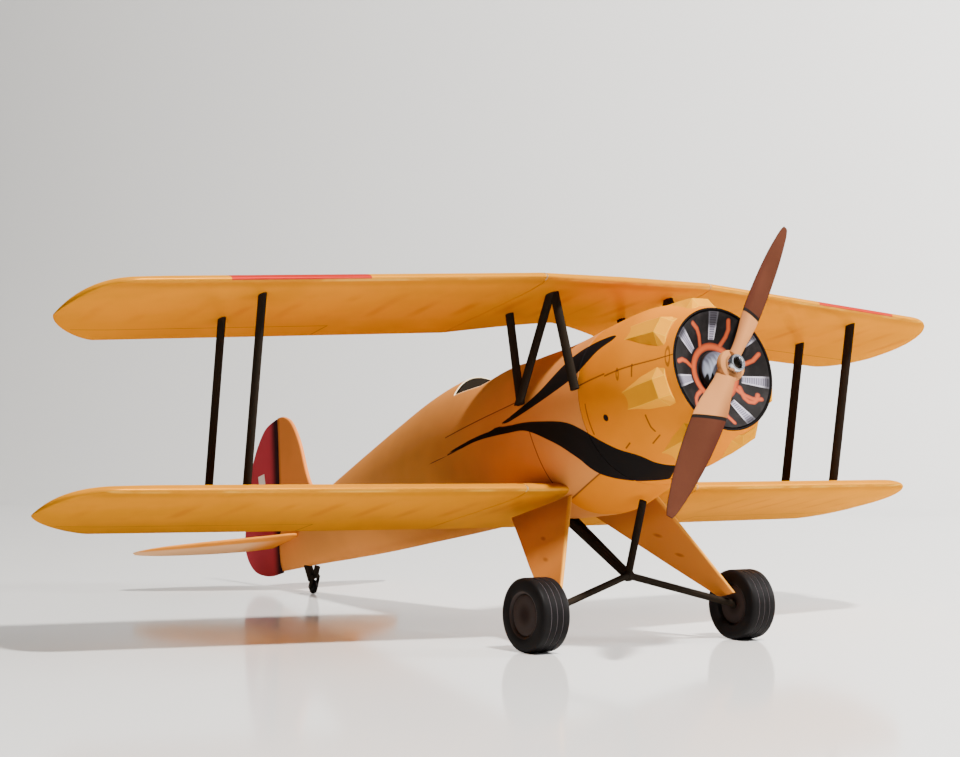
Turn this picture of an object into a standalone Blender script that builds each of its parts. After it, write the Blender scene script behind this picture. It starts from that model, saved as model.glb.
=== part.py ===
"""Single-seat aerobatic biplane, a small display model of card.

The model stands on its two main wheels and its tail wheel on the plane z = 0,
nose toward -Y and port wing toward +X.  Every length below is in millimetres
in the airframe's own frame (x to port, a aft, h up, all from the middle of the
main axle), and place() turns it into the parked attitude in metres.
"""

import math

import bmesh
import bpy
from mathutils import Matrix, Vector
from mathutils.geometry import tessellate_polygon

# Attitude and overall layout
MILLIMETRE = 0.001
PARKED_PITCH = math.radians(14.69)
MIDDLE_Y = 85.51
THRUST_HEIGHT = 49.8
GAP = 0.3

# Wings
HALF_SPAN = 137.5
CHORD = 48.4
SWEEP = math.radians(9.82)
UPPER_JOINT_X = 26.1
UPPER_LEADING_A = -15.24
UPPER_HEIGHT = 80.6
UPPER_DIHEDRAL = math.radians(-0.39)
LOWER_JOINT_X = 27.2
LOWER_LEADING_A = 3.46
LOWER_HEIGHT = 31.8
LOWER_DIHEDRAL = math.radians(2.4)
WING_THICKNESS = 0.092
WING_CAMBER = 0.022
TIP_LEADING_X = 121.0
TIP_TRAILING_X = 112.0
TIP_SPLIT = 0.54
TIP_LEADING_ROUNDNESS = 2.6
TIP_TRAILING_ROUNDNESS = 1.6
CUTOUT_DEPTH = 12.5
STRUT_X = 94.3
UPPER_STRUT_FRACTIONS = (0.17, 0.61)
LOWER_STRUT_FRACTIONS = (0.15, 0.59)

# Wheels
WHEEL_RADIUS = 8.95
WHEEL_WIDTH = 6.5
WHEEL_TRACK_HALF = 32.55
HUB_RADIUS = 5.0
TAIL_WHEEL_RADIUS = 2.3
TAIL_WHEEL_WIDTH = 1.3
TAIL_CONTACT_Y = 166.35

# Propeller
PROPELLER_RADIUS = 44.1
PROPELLER_A = -46.1
PROPELLER_ANGLE = math.radians(35.3)
DISC_RADIUS = 14.5
DISC_A = -43.7

# Fuselage sections: station, half width, belt height, top, bottom, top and bottom squareness
SECTIONS = (
    (-43.7, 15.1, 49.8, 64.9, 34.7, 2.0, 2.0),
    (-36.0, 18.0, 49.8, 67.8, 31.8, 2.0, 2.0),
    (-29.0, 20.1, 49.8, 69.9, 29.7, 2.0, 2.0),
    (-20.0, 20.8, 49.6, 70.3, 29.1, 2.0, 2.0),
    (-12.0, 20.6, 49.3, 70.2, 28.4, 2.0, 2.1),
    (-4.0, 20.2, 49.0, 70.0, 26.8, 2.0, 2.2),
    (5.0, 19.4, 49.0, 70.2, 25.5, 2.0, 2.4),
    (15.0, 18.4, 49.0, 70.8, 26.6, 2.1, 2.5),
    (28.0, 17.2, 49.5, 71.8, 28.6, 2.1, 2.7),
    (42.0, 15.7, 50.5, 73.8, 30.8, 2.1, 2.8),
    (57.0, 14.0, 51.5, 75.4, 32.8, 2.1, 2.9),
    (75.0, 11.9, 52.0, 74.7, 34.2, 2.1, 2.9),
    (95.0, 9.6, 52.2, 72.0, 35.8, 2.1, 2.8),
    (115.0, 7.4, 52.2, 68.8, 37.4, 2.1, 2.7),
    (135.0, 5.4, 52.0, 65.4, 39.4, 2.1, 2.6),
    (155.0, 3.6, 52.0, 61.8, 41.6, 2.1, 2.4),
    (176.4, 1.5, 52.0, 57.8, 44.0, 2.1, 2.2),
)
COWL_REAR = -13.4
MIDDLE_REAR = 62.0

# Cockpit
COCKPIT_FRONT = 29.0
COCKPIT_REAR = 56.5
COCKPIT_FLOOR = 47.0
COCKPIT_REAR_HALF_WIDTH = 9.4
COCKPIT_HALF_WIDTH = 10.3

# Tail
HINGE_A = 177.3
TAILPLANE_HEIGHT = 52.7

# Plain paint colours: red, green and blue in linear light
ORANGE = (0.68, 0.30, 0.045)
COWL_YELLOW = (0.64, 0.26, 0.02)
RED = (0.27, 0.02, 0.022)
BLACK = (0.02, 0.018, 0.017)
BROWN = (0.21, 0.06, 0.028)
GREY = (0.55, 0.57, 0.6)
TYRE_BLACK = (0.03, 0.027, 0.025)
HUB_BROWN = (0.05, 0.035, 0.03)


def clear_scene():
    for thing in list(bpy.data.objects):
        bpy.data.objects.remove(thing, do_unlink=True)


def place(x, a, h):
    """Airframe millimetres to world metres, with the world's origin under the model's middle."""
    cosine = math.cos(PARKED_PITCH)
    sine = math.sin(PARKED_PITCH)
    y = a * cosine + h * sine - MIDDLE_Y
    z = -a * sine + h * cosine + WHEEL_RADIUS
    return Vector((x, y, z)) * MILLIMETRE


def smooth_value(rows, station, column):
    """Value of one column of a table at a station, by a smooth curve through its rows."""
    stations = [row[0] for row in rows]
    if station <= stations[0]:
        return rows[0][column]
    if station >= stations[-1]:
        return rows[-1][column]
    index = 0
    while stations[index + 1] < station:
        index += 1
    width = stations[index + 1] - stations[index]
    part = (station - stations[index]) / width

    def slope(k):
        if k == 0:
            return (rows[1][column] - rows[0][column]) / (stations[1] - stations[0])
        if k == len(rows) - 1:
            return (rows[k][column] - rows[k - 1][column]) / (stations[k] - stations[k - 1])
        return (rows[k + 1][column] - rows[k - 1][column]) / (stations[k + 1] - stations[k - 1])

    start = rows[index][column]
    end = rows[index + 1][column]
    first = slope(index) * width
    last = slope(index + 1) * width
    square = part * part
    cube = square * part
    value = start * (2 * cube - 3 * square + 1) + first * (cube - 2 * square + part)
    return value + end * (3 * square - 2 * cube) + last * (cube - square)


def make_material(name, colour):
    material = bpy.data.materials.new(name)
    material.use_nodes = True
    shader = material.node_tree.nodes["Principled BSDF"]
    shader.inputs["Base Color"].default_value = (colour[0], colour[1], colour[2], 1.0)
    shader.inputs["Roughness"].default_value = 0.5
    material.diffuse_color = (colour[0], colour[1], colour[2], 1.0)
    return material


def make_object(name, points, faces, colour, origin=None):
    """One closed solid from world points; its origin can be put on a joint's axis."""
    centre = Vector(origin) if origin is not None else Vector((0.0, 0.0, 0.0))
    mesh = bpy.data.meshes.new(name)
    mesh.from_pydata([tuple(Vector(point) - centre) for point in points], [], faces)
    mesh.validate()
    shape = bmesh.new()
    shape.from_mesh(mesh)
    bmesh.ops.recalc_face_normals(shape, faces=shape.faces)
    if shape.calc_volume(signed=True) < 0:
        bmesh.ops.reverse_faces(shape, faces=shape.faces)
    shape.to_mesh(mesh)
    shape.free()
    solid = bpy.data.objects.new(name, mesh)
    solid.location = centre
    bpy.context.scene.collection.objects.link(solid)
    mesh.materials.append(make_material(name, colour))
    return solid


def loft(name, rings, colour, origin=None):
    """Closed solid through rings of equal length, with flat fans or polygons at both ends."""
    count = len(rings[0])
    points = [point for ring in rings for point in ring]
    faces = []
    for row in range(len(rings) - 1):
        for k in range(count):
            following = (k + 1) % count
            low = row * count
            high = low + count
            faces.append((low + k, low + following, high + following, high + k))
    faces.append(tuple(reversed(range(count))))
    last = (len(rings) - 1) * count
    faces.append(tuple(last + k for k in range(count)))
    return make_object(name, points, faces, colour, origin)


def revolve(name, profile, centre, axis, colour, segments=40, origin=None):
    """Closed solid of a profile of (along, radius) pairs turned about an axis through centre."""
    direction = Vector(axis).normalized()
    side = direction.orthogonal().normalized()
    other = direction.cross(side)
    ring_form = min(radius for along, radius in profile) > 0
    points = []
    rows = []
    for along, radius in profile:
        middle = Vector(centre) + direction * along * MILLIMETRE
        if radius <= 0:
            rows.append([len(points)] * segments)
            points.append(middle)
            continue
        row = []
        for k in range(segments):
            angle = 2 * math.pi * k / segments
            spoke = side * math.cos(angle) + other * math.sin(angle)
            row.append(len(points))
            points.append(middle + spoke * radius * MILLIMETRE)
        rows.append(row)
    faces = []
    pairs = list(zip(rows, rows[1:]))
    if ring_form:
        pairs.append((rows[-1], rows[0]))
    for low, high in pairs:
        for k in range(segments):
            following = (k + 1) % segments
            corners = []
            for index in (low[k], low[following], high[following], high[k]):
                if index not in corners:
                    corners.append(index)
            faces.append(tuple(corners))
    return make_object(name, points, faces, colour, origin)


def combine(target, tool, operation):
    """Exact Boolean of two solids; the tool is removed afterwards."""
    modifier = target.modifiers.new(operation, "BOOLEAN")
    modifier.operation = operation
    modifier.solver = "EXACT"
    modifier.object = tool
    graph = bpy.context.evaluated_depsgraph_get()
    result = bpy.data.meshes.new_from_object(target.evaluated_get(graph))
    target.modifiers.remove(modifier)
    old = target.data
    target.data = result
    bpy.data.meshes.remove(old)
    bpy.data.objects.remove(tool, do_unlink=True)
    shape = bmesh.new()
    shape.from_mesh(result)
    bmesh.ops.remove_doubles(shape, verts=shape.verts, dist=0.000004)
    bmesh.ops.dissolve_degenerate(shape, edges=shape.edges, dist=0.000004)
    shape.to_mesh(result)
    shape.free()
    while len(result.materials) > 1:
        result.materials.pop(index=len(result.materials) - 1)
    for polygon in result.polygons:
        polygon.material_index = 0


# Fuselage and cowl

def hull_ring(station, inset=0.0, count=40):
    """Points around the fuselage at a station, pulled in by inset."""
    width = smooth_value(SECTIONS, station, 1) - inset
    belt = smooth_value(SECTIONS, station, 2)
    top = smooth_value(SECTIONS, station, 3) - inset
    bottom = smooth_value(SECTIONS, station, 4) + inset
    upper = smooth_value(SECTIONS, station, 5)
    lower = smooth_value(SECTIONS, station, 6)
    ring = []
    for k in range(count):
        angle = 2 * math.pi * k / count
        cosine = math.cos(angle)
        sine = math.sin(angle)
        power = 2.0 / (upper if sine >= 0 else lower)
        x = width * math.copysign(abs(cosine) ** power, cosine)
        rise = (top - belt) if sine >= 0 else (belt - bottom)
        h = belt + rise * math.copysign(abs(sine) ** power, sine)
        ring.append(place(x, station, h))
    return ring


def stations_between(start, end, step):
    count = max(2, int(math.ceil((end - start) / step)) + 1)
    return [start + (end - start) * k / (count - 1) for k in range(count)]


def rocker_cover(angle):
    """Faceted box over one cylinder head, wide in front and fading aft."""
    radial_x = math.cos(angle)
    radial_h = math.sin(angle)
    rings = []
    table = ((-41.3, 2.4, 4.8, 15.2, 16.3), (-39.5, 2.4, 4.8, 16.1, 18.7), (-34.5, 2.4, 4.0, 18.0, 19.4),
             (-28.5, 2.0, 2.6, 19.7, 19.95))
    for station, narrow, wide, shoulder, crown in table:
        outline = ((-wide, 12.0), (-wide, shoulder), (-narrow, crown), (narrow, crown), (wide, shoulder),
                   (wide, 12.0))
        ring = []
        for across, radius in outline:
            x = radial_x * radius - radial_h * across
            h = THRUST_HEIGHT + radial_h * radius + radial_x * across
            ring.append(place(x, station, h))
        rings.append(ring)
    return loft("rocker_cover", rings, COWL_YELLOW)


def build_cowl():
    cowl = loft("cowl", [hull_ring(a) for a in stations_between(DISC_A, COWL_REAR, 3.2)], COWL_YELLOW)
    for k in range(7):
        combine(cowl, rocker_cover(math.radians(90 + k * 360 / 7)), "UNION")
    axis = place(0, 1, 0) - place(0, 0, 0)
    recess = revolve("recess", ((-2.0, 0), (-2.0, DISC_RADIUS), (4.6, DISC_RADIUS), (4.6, 0)),
                     place(0, DISC_A, THRUST_HEIGHT), axis, COWL_YELLOW, 48)
    combine(cowl, recess, "DIFFERENCE")


def build_engine_face():
    axis = place(0, -1, 0) - place(0, 0, 0)
    edge = DISC_RADIUS - 0.2
    profile = ((-4.3, 0), (-4.3, edge), (-0.15, edge), (-3.2, 7.0), (-3.4, 5.2), (-3.4, 0))
    revolve("engine_face", profile, place(0, DISC_A, THRUST_HEIGHT), axis, BLACK, 48)
    dome = ((-3.1, 0), (-3.1, 5.1), (-2.3, 5.0), (-0.9, 4.0), (0.3, 2.3), (0.9, 0.8), (0.9, 0))
    revolve("crankcase", dome, place(0, DISC_A, THRUST_HEIGHT), axis, BLACK, 32)


def build_fuselage():
    rings = [hull_ring(a) for a in stations_between(COWL_REAR + GAP, MIDDLE_REAR, 4.5)]
    middle = loft("fuselage_middle", rings, ORANGE)
    for side in (-1, 1):
        stations = (4.0, 14.0, LOWER_JOINT_X - 0.15)
        rings = [wing_ring("lower", side, x, 1.0) for x in stations]
        combine(middle, loft("root", rings, ORANGE), "UNION")
    outline = cockpit_outline(0.0)
    rings = [[place(x, a, h) for x, a in outline] for h in (COCKPIT_FLOOR, 90.0)]
    combine(middle, loft("cockpit_cut", rings, BLACK), "DIFFERENCE")
    loft("fuselage_rear", [hull_ring(a) for a in stations_between(MIDDLE_REAR + GAP, 176.4, 6.0)], ORANGE)


def cockpit_outline(inset):
    """Plan of the cockpit hole: nearly straight sides behind, round in front."""
    half = COCKPIT_HALF_WIDTH - inset
    rear_half = COCKPIT_REAR_HALF_WIDTH - inset
    front = COCKPIT_FRONT + inset
    rear = COCKPIT_REAR - inset
    straight = 42.0
    outline = [(rear_half, rear), (half, straight)]
    for k in range(1, 12):
        angle = math.pi * k / 12
        outline.append((half * math.cos(angle), straight - (straight - front) * math.sin(angle)))
    outline.extend([(-half, straight), (-rear_half, rear)])
    return outline


def build_cockpit():
    """Black lining: a tub in the hole and the bulkhead that closes the rear arch."""
    outer = cockpit_outline(0.25)
    inner = cockpit_outline(0.75)
    sill = 66.6
    rings = [[place(x, a, h) for x, a in outer] for h in (COCKPIT_FLOOR + GAP, sill)]
    tub = loft("cockpit_tub", rings, BLACK)
    rings = [[place(x, a, h) for x, a in inner] for h in (COCKPIT_FLOOR + 0.9, sill + 5)]
    combine(tub, loft("tub_cut", rings, BLACK), "DIFFERENCE")
    arch = []
    width = smooth_value(SECTIONS, COCKPIT_REAR, 1) - 0.5
    belt = smooth_value(SECTIONS, COCKPIT_REAR, 2)
    rise = smooth_value(SECTIONS, COCKPIT_REAR, 3) - belt - 0.5
    base = sill + 0.4
    edge = COCKPIT_REAR_HALF_WIDTH - 0.3
    power = 2.0 / 2.1
    steps = 16
    for k in range(steps + 1):
        angle = math.pi * k / steps
        x = width * math.copysign(abs(math.cos(angle)) ** power, math.cos(angle))
        h = belt + rise * math.sin(angle) ** power
        if h > base and abs(x) < edge:
            arch.append((x, h))
    outline = [(edge, base)] + arch + [(-edge, base)]
    rings = [[place(x, a, h) for x, h in outline] for a in (COCKPIT_REAR - 0.75, COCKPIT_REAR - 0.25)]
    loft("cockpit_bulkhead", rings, BLACK)


# Wings

def airfoil_height(fraction, upper):
    """Height of a wing surface over the chord line, as a part of the chord."""
    t = min(max(fraction, 0.0), 1.0)
    spread = 0.2969 * math.sqrt(t) - 0.126 * t - 0.3516 * t * t + 0.2843 * t ** 3 - 0.0936 * t ** 4
    half = max(5 * WING_THICKNESS * spread, 0.004 * t)
    peak = 0.38
    if t < peak:
        camber = WING_CAMBER / peak ** 2 * (2 * peak * t - t * t)
    else:
        camber = WING_CAMBER / (1 - peak) ** 2 * ((1 - 2 * peak) + 2 * peak * t - t * t)
    return camber + half if upper else camber - half


def leading_fraction(x):
    if x <= TIP_LEADING_X:
        return 0.0
    reach = min((x - TIP_LEADING_X) / (HALF_SPAN - TIP_LEADING_X), 1.0)
    power = TIP_LEADING_ROUNDNESS
    return TIP_SPLIT * (1 - (1 - reach ** power) ** (1 / power))


def trailing_fraction(x):
    if x <= TIP_TRAILING_X:
        return 1.0
    reach = min((x - TIP_TRAILING_X) / (HALF_SPAN - TIP_TRAILING_X), 1.0)
    power = TIP_TRAILING_ROUNDNESS
    return TIP_SPLIT + (1 - TIP_SPLIT) * (1 - reach ** power) ** (1 / power)


def wing_line(which, x):
    """Leading edge (aft, height) of a wing at a distance x from the middle."""
    if which == "upper":
        joint, leading, height, rise = UPPER_JOINT_X, UPPER_LEADING_A, UPPER_HEIGHT, UPPER_DIHEDRAL
    else:
        joint, leading, height, rise = LOWER_JOINT_X, LOWER_LEADING_A, LOWER_HEIGHT, LOWER_DIHEDRAL
    out = max(x - joint, 0.0)
    return leading + out * math.tan(SWEEP), height + out * math.tan(rise)


def wing_ring(which, side, x, end_fraction=None, points=15):
    """Airfoil points at one section, from the trailing edge over the top and back below."""
    leading, height = wing_line(which, x)
    start = leading_fraction(x)
    end = trailing_fraction(x) if end_fraction is None else end_fraction
    size = max((end - start), 0.05)
    swell = size if x > TIP_TRAILING_X else 1.0
    ring = []
    for upper in (True, False):
        order = range(points) if upper else range(points - 2, -1, -1)
        for k in order:
            part = 0.5 * (1 + math.cos(math.pi * k / (points - 1)))
            if not upper and k == 0:
                part = 1.0
            a = leading + (start + size * part) * CHORD
            h = height + airfoil_height(part, upper) * CHORD * swell
            ring.append(place(side * x, a, h))
    return ring


def cutout_fraction(x):
    """Trailing edge of the middle panel, cut away over the cockpit."""
    reach = min(abs(x) / UPPER_JOINT_X, 1.0)
    return 1.0 - CUTOUT_DEPTH / CHORD * (1 - reach ** 1.25)


def build_wings():
    stations = stations_between(-UPPER_JOINT_X + 0.15, UPPER_JOINT_X - 0.15, 4.4)
    rings = [wing_ring("upper", math.copysign(1, x), abs(x), cutout_fraction(x)) for x in stations]
    loft("upper_wing_middle", rings, ORANGE)
    tips = (112.0, 116.0, 120.0, 124.0, 127.5, 130.5, 133.0, 135.0, 136.4, 137.2, 137.45)
    for which, joint in (("upper", UPPER_JOINT_X), ("lower", LOWER_JOINT_X)):
        for side, word in ((1, "port"), (-1, "starboard")):
            stations = [joint + 0.15, 60.0] + list(tips)
            rings = [wing_ring(which, side, x) for x in stations]
            loft(which + "_wing_" + word, rings, ORANGE)


# Struts

def strut(name, start, end, colour=BLACK, depth=2.5, thickness=1.4, broad=(0, 1, 0), cut=None, count=12):
    """Streamlined strut between two airframe points; cut "level" gives ends parallel to the wings."""
    first = Vector(start)
    last = Vector(end)
    direction = (last - first).normalized()
    wide = Vector(broad)
    wide = (wide - direction * wide.dot(direction)).normalized()
    thin = direction.cross(wide).normalized()
    rings = []
    for middle in (first, last):
        ring = []
        for k in range(count):
            angle = 2 * math.pi * k / count
            offset = wide * (depth / 2 * math.cos(angle)) + thin * (thickness / 2 * math.sin(angle))
            if cut == "level":
                offset = offset - direction * (offset.z / direction.z)
            point = middle + offset
            ring.append(place(point.x, point.y, point.z))
        rings.append(ring)
    return loft(name, rings, colour)


def wing_point(which, x, fraction, upper):
    leading, height = wing_line(which, x)
    return leading + fraction * CHORD, height + airfoil_height(fraction, upper) * CHORD


def build_struts():
    for side, word in ((1, "port"), (-1, "starboard")):
        for index, place_word in ((0, "front"), (1, "rear")):
            top_a, top_h = wing_point("upper", STRUT_X, UPPER_STRUT_FRACTIONS[index], False)
            low_a, low_h = wing_point("lower", STRUT_X, LOWER_STRUT_FRACTIONS[index], True)
            strut("interplane_" + place_word + "_" + word, (side * STRUT_X, low_a, low_h + 0.35),
                  (side * STRUT_X, top_a, top_h - 0.35), cut="level")
    # Cabane: front, diagonal and rear strut on each side
    for side, word in ((1, "port"), (-1, "starboard")):
        for name, foot, top in (("front", (0.0, -13.6, 52.4), (18.2, -6.6, 79.0)),
                                ("diagonal", (0.0, 11.0, 55.2), (19.9, -4.6, 79.0)),
                                ("rear", (0.0, 12.9, 55.6), (18.2, 13.4, 79.0))):
            lap = 1.7 if name == "diagonal" else 0.0
            foot_point = fuselage_side_point(foot, 1.15 + lap)
            top_a = top[1]
            fraction = (top_a - UPPER_LEADING_A) / CHORD
            top_h = wing_point("upper", 0.0, fraction, False)[1] - 0.35
            strut("cabane_" + name + "_" + word, (side * foot_point[0], foot_point[1], foot_point[2]),
                  (side * top[0], top_a, top_h), cut="level")


def fuselage_side_point(foot, clear):
    """Moves a strut's foot sideways until it stands clear of the fuselage's skin."""
    width = smooth_value(SECTIONS, foot[1], 1)
    belt = smooth_value(SECTIONS, foot[1], 2)
    top = smooth_value(SECTIONS, foot[1], 3)
    power = smooth_value(SECTIONS, foot[1], 5)
    rise = min(max((foot[2] - belt) / (top - belt), 0.0), 1.0)
    x = width * (1 - rise ** power) ** (1 / power)
    return (x + clear, foot[1], foot[2])


# Undercarriage

def build_gear():
    leg_foot_x = 28.3
    root_x = 13.6
    for side, word in ((1, "port"), (-1, "starboard")):
        rings = []
        stations = ((root_x, 4.2, 31.0, 29.9), (21.5, -0.4, 16.2, 14.4),
                    (leg_foot_x, -3.6, 3.6, 1.2), (leg_foot_x + 0.2, -2.4, 2.4, -1.9))
        for x, front, rear, h in stations:
            thick = 0.65
            middle = (front + rear) / 2
            half = (rear - front) / 2
            ring = []
            for k in range(16):
                angle = 2 * math.pi * k / 16
                across = thick * math.copysign(abs(math.sin(angle)) ** 0.7, math.sin(angle))
                along = half * math.copysign(abs(math.cos(angle)) ** 0.6, math.cos(angle))
                ring.append(place(side * (x + across), middle + along, h))
            rings.append(ring)
        loft("gear_leg_" + word, rings, ORANGE)
        axis = Vector((side, 0, 0))
        stub = ((leg_foot_x + 1.05, 0), (leg_foot_x + 1.05, 1.1), (30.2, 1.1), (30.2, 0))
        revolve("axle_" + word, stub, place(0, 0, 0), axis, BLACK, 20)
    apex = Vector((0.0, 3.7, 9.2))
    revolve("spreader_joint", ((-1.2, 0), (-1.2, 1.1), (-0.6, 1.5), (0.6, 1.5), (1.2, 1.1), (1.2, 0)),
            place(apex.x, apex.y, apex.z), (1, 0, 0), BLACK, 16)

    def from_apex(name, far, sideways=0.0, start=2.1, broad=(0, 1, 0), cut=None):
        target = Vector(far)
        base = apex + Vector((sideways, 0, 0))
        direction = (target - base).normalized()
        strut(name, base + direction * start, target, broad=broad, cut=cut, depth=2.3, thickness=1.3)

    from_apex("spreader_front", (0.0, -6.6, 26.0), broad=(0, 0, 1))
    for side, word in ((1, "port"), (-1, "starboard")):
        from_apex("spreader_rear_" + word, (side * 2.6, 23.4, 27.1), side * 0.9, broad=(0, 0, 1))
        from_apex("axle_strut_" + word, (side * (leg_foot_x - 1.3), 0.5, 1.1), start=2.2)


def build_wheels():
    half = WHEEL_WIDTH / 2
    outer = WHEEL_RADIUS
    shoulder = ((0.5, HUB_RADIUS + 0.2), (0.0, HUB_RADIUS + 0.9), (0.0, outer - 1.9), (0.35, outer - 0.9),
                (1.1, outer - 0.2), (2.0, outer))
    tyre = [(inset - half, r) for inset, r in shoulder] + [(half - inset, r) for inset, r in reversed(shoulder)]
    hub = ((-half + 0.9, 0), (-half + 0.9, HUB_RADIUS), (half - 0.6, HUB_RADIUS),
           (half - 0.5, HUB_RADIUS - 0.8), (half - 0.5, 0))
    for side, word in ((1, "port"), (-1, "starboard")):
        centre = place(side * WHEEL_TRACK_HALF, 0, 0)
        axis = (side, 0, 0)
        revolve("tyre_" + word, tyre, centre, axis, TYRE_BLACK, 56, centre)
        revolve("hub_" + word, hub, centre, axis, HUB_BROWN, 40, centre)
    # Tail wheel between two prongs under a leg
    half = TAIL_WHEEL_WIDTH / 2
    radius = TAIL_WHEEL_RADIUS
    centre = Vector((0, TAIL_CONTACT_Y - MIDDLE_Y, radius)) * MILLIMETRE
    rim = ((-half, 0), (-half, radius - 0.5), (-half + 0.4, radius),
           (half - 0.4, radius), (half, radius - 0.5), (half, 0))
    revolve("tail_wheel", rim, centre, (1, 0, 0), TYRE_BLACK, 32, centre)


def build_tail_leg():
    """Leg from the fuselage's end down to a fork around the tail wheel."""
    top = Vector((0, 158.6, 41.4))
    centre_y = TAIL_CONTACT_Y
    cosine = math.cos(PARKED_PITCH)
    sine = math.sin(PARKED_PITCH)
    z = TAIL_WHEEL_RADIUS - WHEEL_RADIUS
    centre = Vector((0, centre_y * cosine - z * sine, centre_y * sine + z * cosine))
    crown = centre + (top - centre).normalized() * (TAIL_WHEEL_RADIUS + 1.1)
    leg = strut("tail_leg", crown, top, depth=2.1, thickness=1.8)
    prong_x = TAIL_WHEEL_WIDTH / 2 + 0.5
    direction = (top - centre).normalized()
    for side in (-1, 1):
        low = centre + Vector((side * prong_x, 0, 0)) - direction * 0.5
        high = crown + Vector((side * prong_x, 0, 0)) + direction * 0.6
        prong = strut("prong", low, high, depth=1.8, thickness=0.55)
        combine(leg, prong, "UNION")
    low = crown - direction * 0.15
    high = crown + direction * 0.75
    bridge = strut("bridge", low, high, depth=1.8, thickness=2 * prong_x + 0.3)
    combine(leg, bridge, "UNION")


# Tail surfaces

def plate(name, outline, to_point, half_thickness, colour):
    """Flat tail surface with softened rim: outline points (a, b) inset on both faces."""
    rings = []
    centre_a = sum(point[0] for point in outline) / len(outline)
    centre_b = sum(point[1] for point in outline) / len(outline)
    layers = ((-half_thickness, 0.97), (-half_thickness * 0.45, 1.0),
              (half_thickness * 0.45, 1.0), (half_thickness, 0.97))
    for offset, scale in layers:
        ring = []
        for a, b in outline:
            inset_a = centre_a + (a - centre_a) * scale
            inset_b = centre_b + (b - centre_b) * scale
            ring.append(to_point(inset_a, inset_b, offset))
        rings.append(ring)
    return loft(name, rings, colour)


def curve_points(points, steps=6):
    """Smooth open curve through the given points."""
    result = []
    last = len(points) - 1
    for k in range(last):
        before = points[max(k - 1, 0)]
        start = points[k]
        end = points[k + 1]
        after = points[min(k + 2, last)]
        for step in range(steps):
            t = step / steps
            values = []
            for axis in (0, 1):
                a = 2 * start[axis]
                b = end[axis] - before[axis]
                c = 2 * before[axis] - 5 * start[axis] + 4 * end[axis] - after[axis]
                d = -before[axis] + 3 * start[axis] - 3 * end[axis] + after[axis]
                values.append(0.5 * (a + b * t + c * t * t + d * t ** 3))
            result.append(tuple(values))
    result.append(points[last])
    return result


def build_tail():
    def upright(a, b, offset):
        return place(offset, a, b)

    fin_edge = curve_points([(151.0, 62.75), (155.6, 66.6), (158.0, 72.0), (160.2, 82.0), (163.8, 89.4),
                             (169.6, 92.9), (HINGE_A - GAP / 2, 93.3)])
    fin = fin_edge + [(HINGE_A - GAP / 2, 58.05)]
    plate("fin", fin, upright, 0.9, ORANGE)
    rudder_edge = curve_points([(HINGE_A + GAP / 2, 93.3), (184.0, 91.0), (191.0, 85.0), (197.0, 76.0),
                                (202.6, 64.0), (204.6, 55.0), (200.0, 47.8), (191.0, 44.4),
                                (HINGE_A + GAP / 2, 43.6)])
    plate("rudder", rudder_edge, upright, 0.9, RED)
    for side, word in ((1, "port"), (-1, "starboard")):
        def flat(a, b, offset, side=side):
            return place(side * b, a, TAILPLANE_HEIGHT + offset)

        clear = 0.35
        front_root = smooth_value(SECTIONS, 163.0, 1) + clear
        rear_root = smooth_value(SECTIONS, 176.0, 1) + clear
        outline = curve_points([(163.0, front_root), (166.8, 14.0), (173.4, 30.0), (179.0, 40.5),
                                (185.5, 46.0), (190.0, 43.0), (192.0, 34.0), (191.4, 22.0),
                                (188.4, 9.0), (184.0, 1.5)])
        outline.append((177.0, rear_root))
        plate("tailplane_" + word, outline, flat, 0.9, ORANGE)


# Propeller

def build_propeller():
    centre = place(0, PROPELLER_A, THRUST_HEIGHT)
    forward = (place(0, -1, 0) - place(0, 0, 0)).normalized()
    port = Vector((1, 0, 0))
    up = (place(0, 0, 1) - place(0, 0, 0)).normalized()
    boss = ((-0.95, 0), (-0.95, 2.9), (-0.6, 3.2), (0.6, 3.2), (0.95, 2.8), (0.95, 0))
    hub = revolve("propeller", boss, centre, forward, BROWN, 32, centre)
    blade_table = ((2.15, 3.9, 32.0, 1.6), (4.5, 4.6, 34.0, 1.7), (8.0, 5.9, 33.0, 1.6),
                   (12.0, 7.3, 29.0, 1.4), (16.0, 7.9, 26.5, 1.25), (22.0, 7.7, 24.0, 1.15),
                   (28.0, 7.0, 22.0, 1.0), (34.0, 6.0, 19.5, 0.9), (39.0, 4.7, 17.5, 0.8),
                   (42.5, 3.4, 16.0, 0.7), (PROPELLER_RADIUS, 2.0, 15.5, 0.5))
    for turn in (0.0, math.pi):
        angle = PROPELLER_ANGLE + turn
        radial = (port * math.sin(angle) + up * math.cos(angle)).normalized()
        tangent = (port * -math.cos(angle) + up * math.sin(angle)).normalized()
        rings = []
        for radius, chord, pitch, thick in blade_table:
            tilt = math.radians(pitch)
            along = tangent * math.cos(tilt) + forward * math.sin(tilt)
            normal = forward * math.cos(tilt) - tangent * math.sin(tilt)
            middle = centre + radial * radius * MILLIMETRE
            ring = []
            for k in range(14):
                place_angle = 2 * math.pi * k / 14
                run = chord / 2 * math.cos(place_angle)
                rise = thick / 2 * math.sin(place_angle)
                ring.append(middle + (along * run + normal * rise) * MILLIMETRE)
            rings.append(ring)
        combine(hub, loft("blade", rings, BROWN), "UNION")
    tube = ((0, 1.25), (0, 1.95), (1.9, 1.95), (1.9, 1.25))
    revolve("propeller_nut", tube, centre + forward * 1.2 * MILLIMETRE, forward, GREY, 28, centre)


def main():
    clear_scene()
    build_cowl()
    build_engine_face()
    build_fuselage()
    build_cockpit()
    build_wings()
    build_struts()
    build_gear()
    build_wheels()
    build_tail_leg()
    build_tail()
    build_propeller()


main()
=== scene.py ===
# A card model biplane, dressed for its photograph: printed card, black paper struts, rolled paper wheels.
import math

import bpy
import numpy as np
from mathutils import Matrix, Vector


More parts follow.
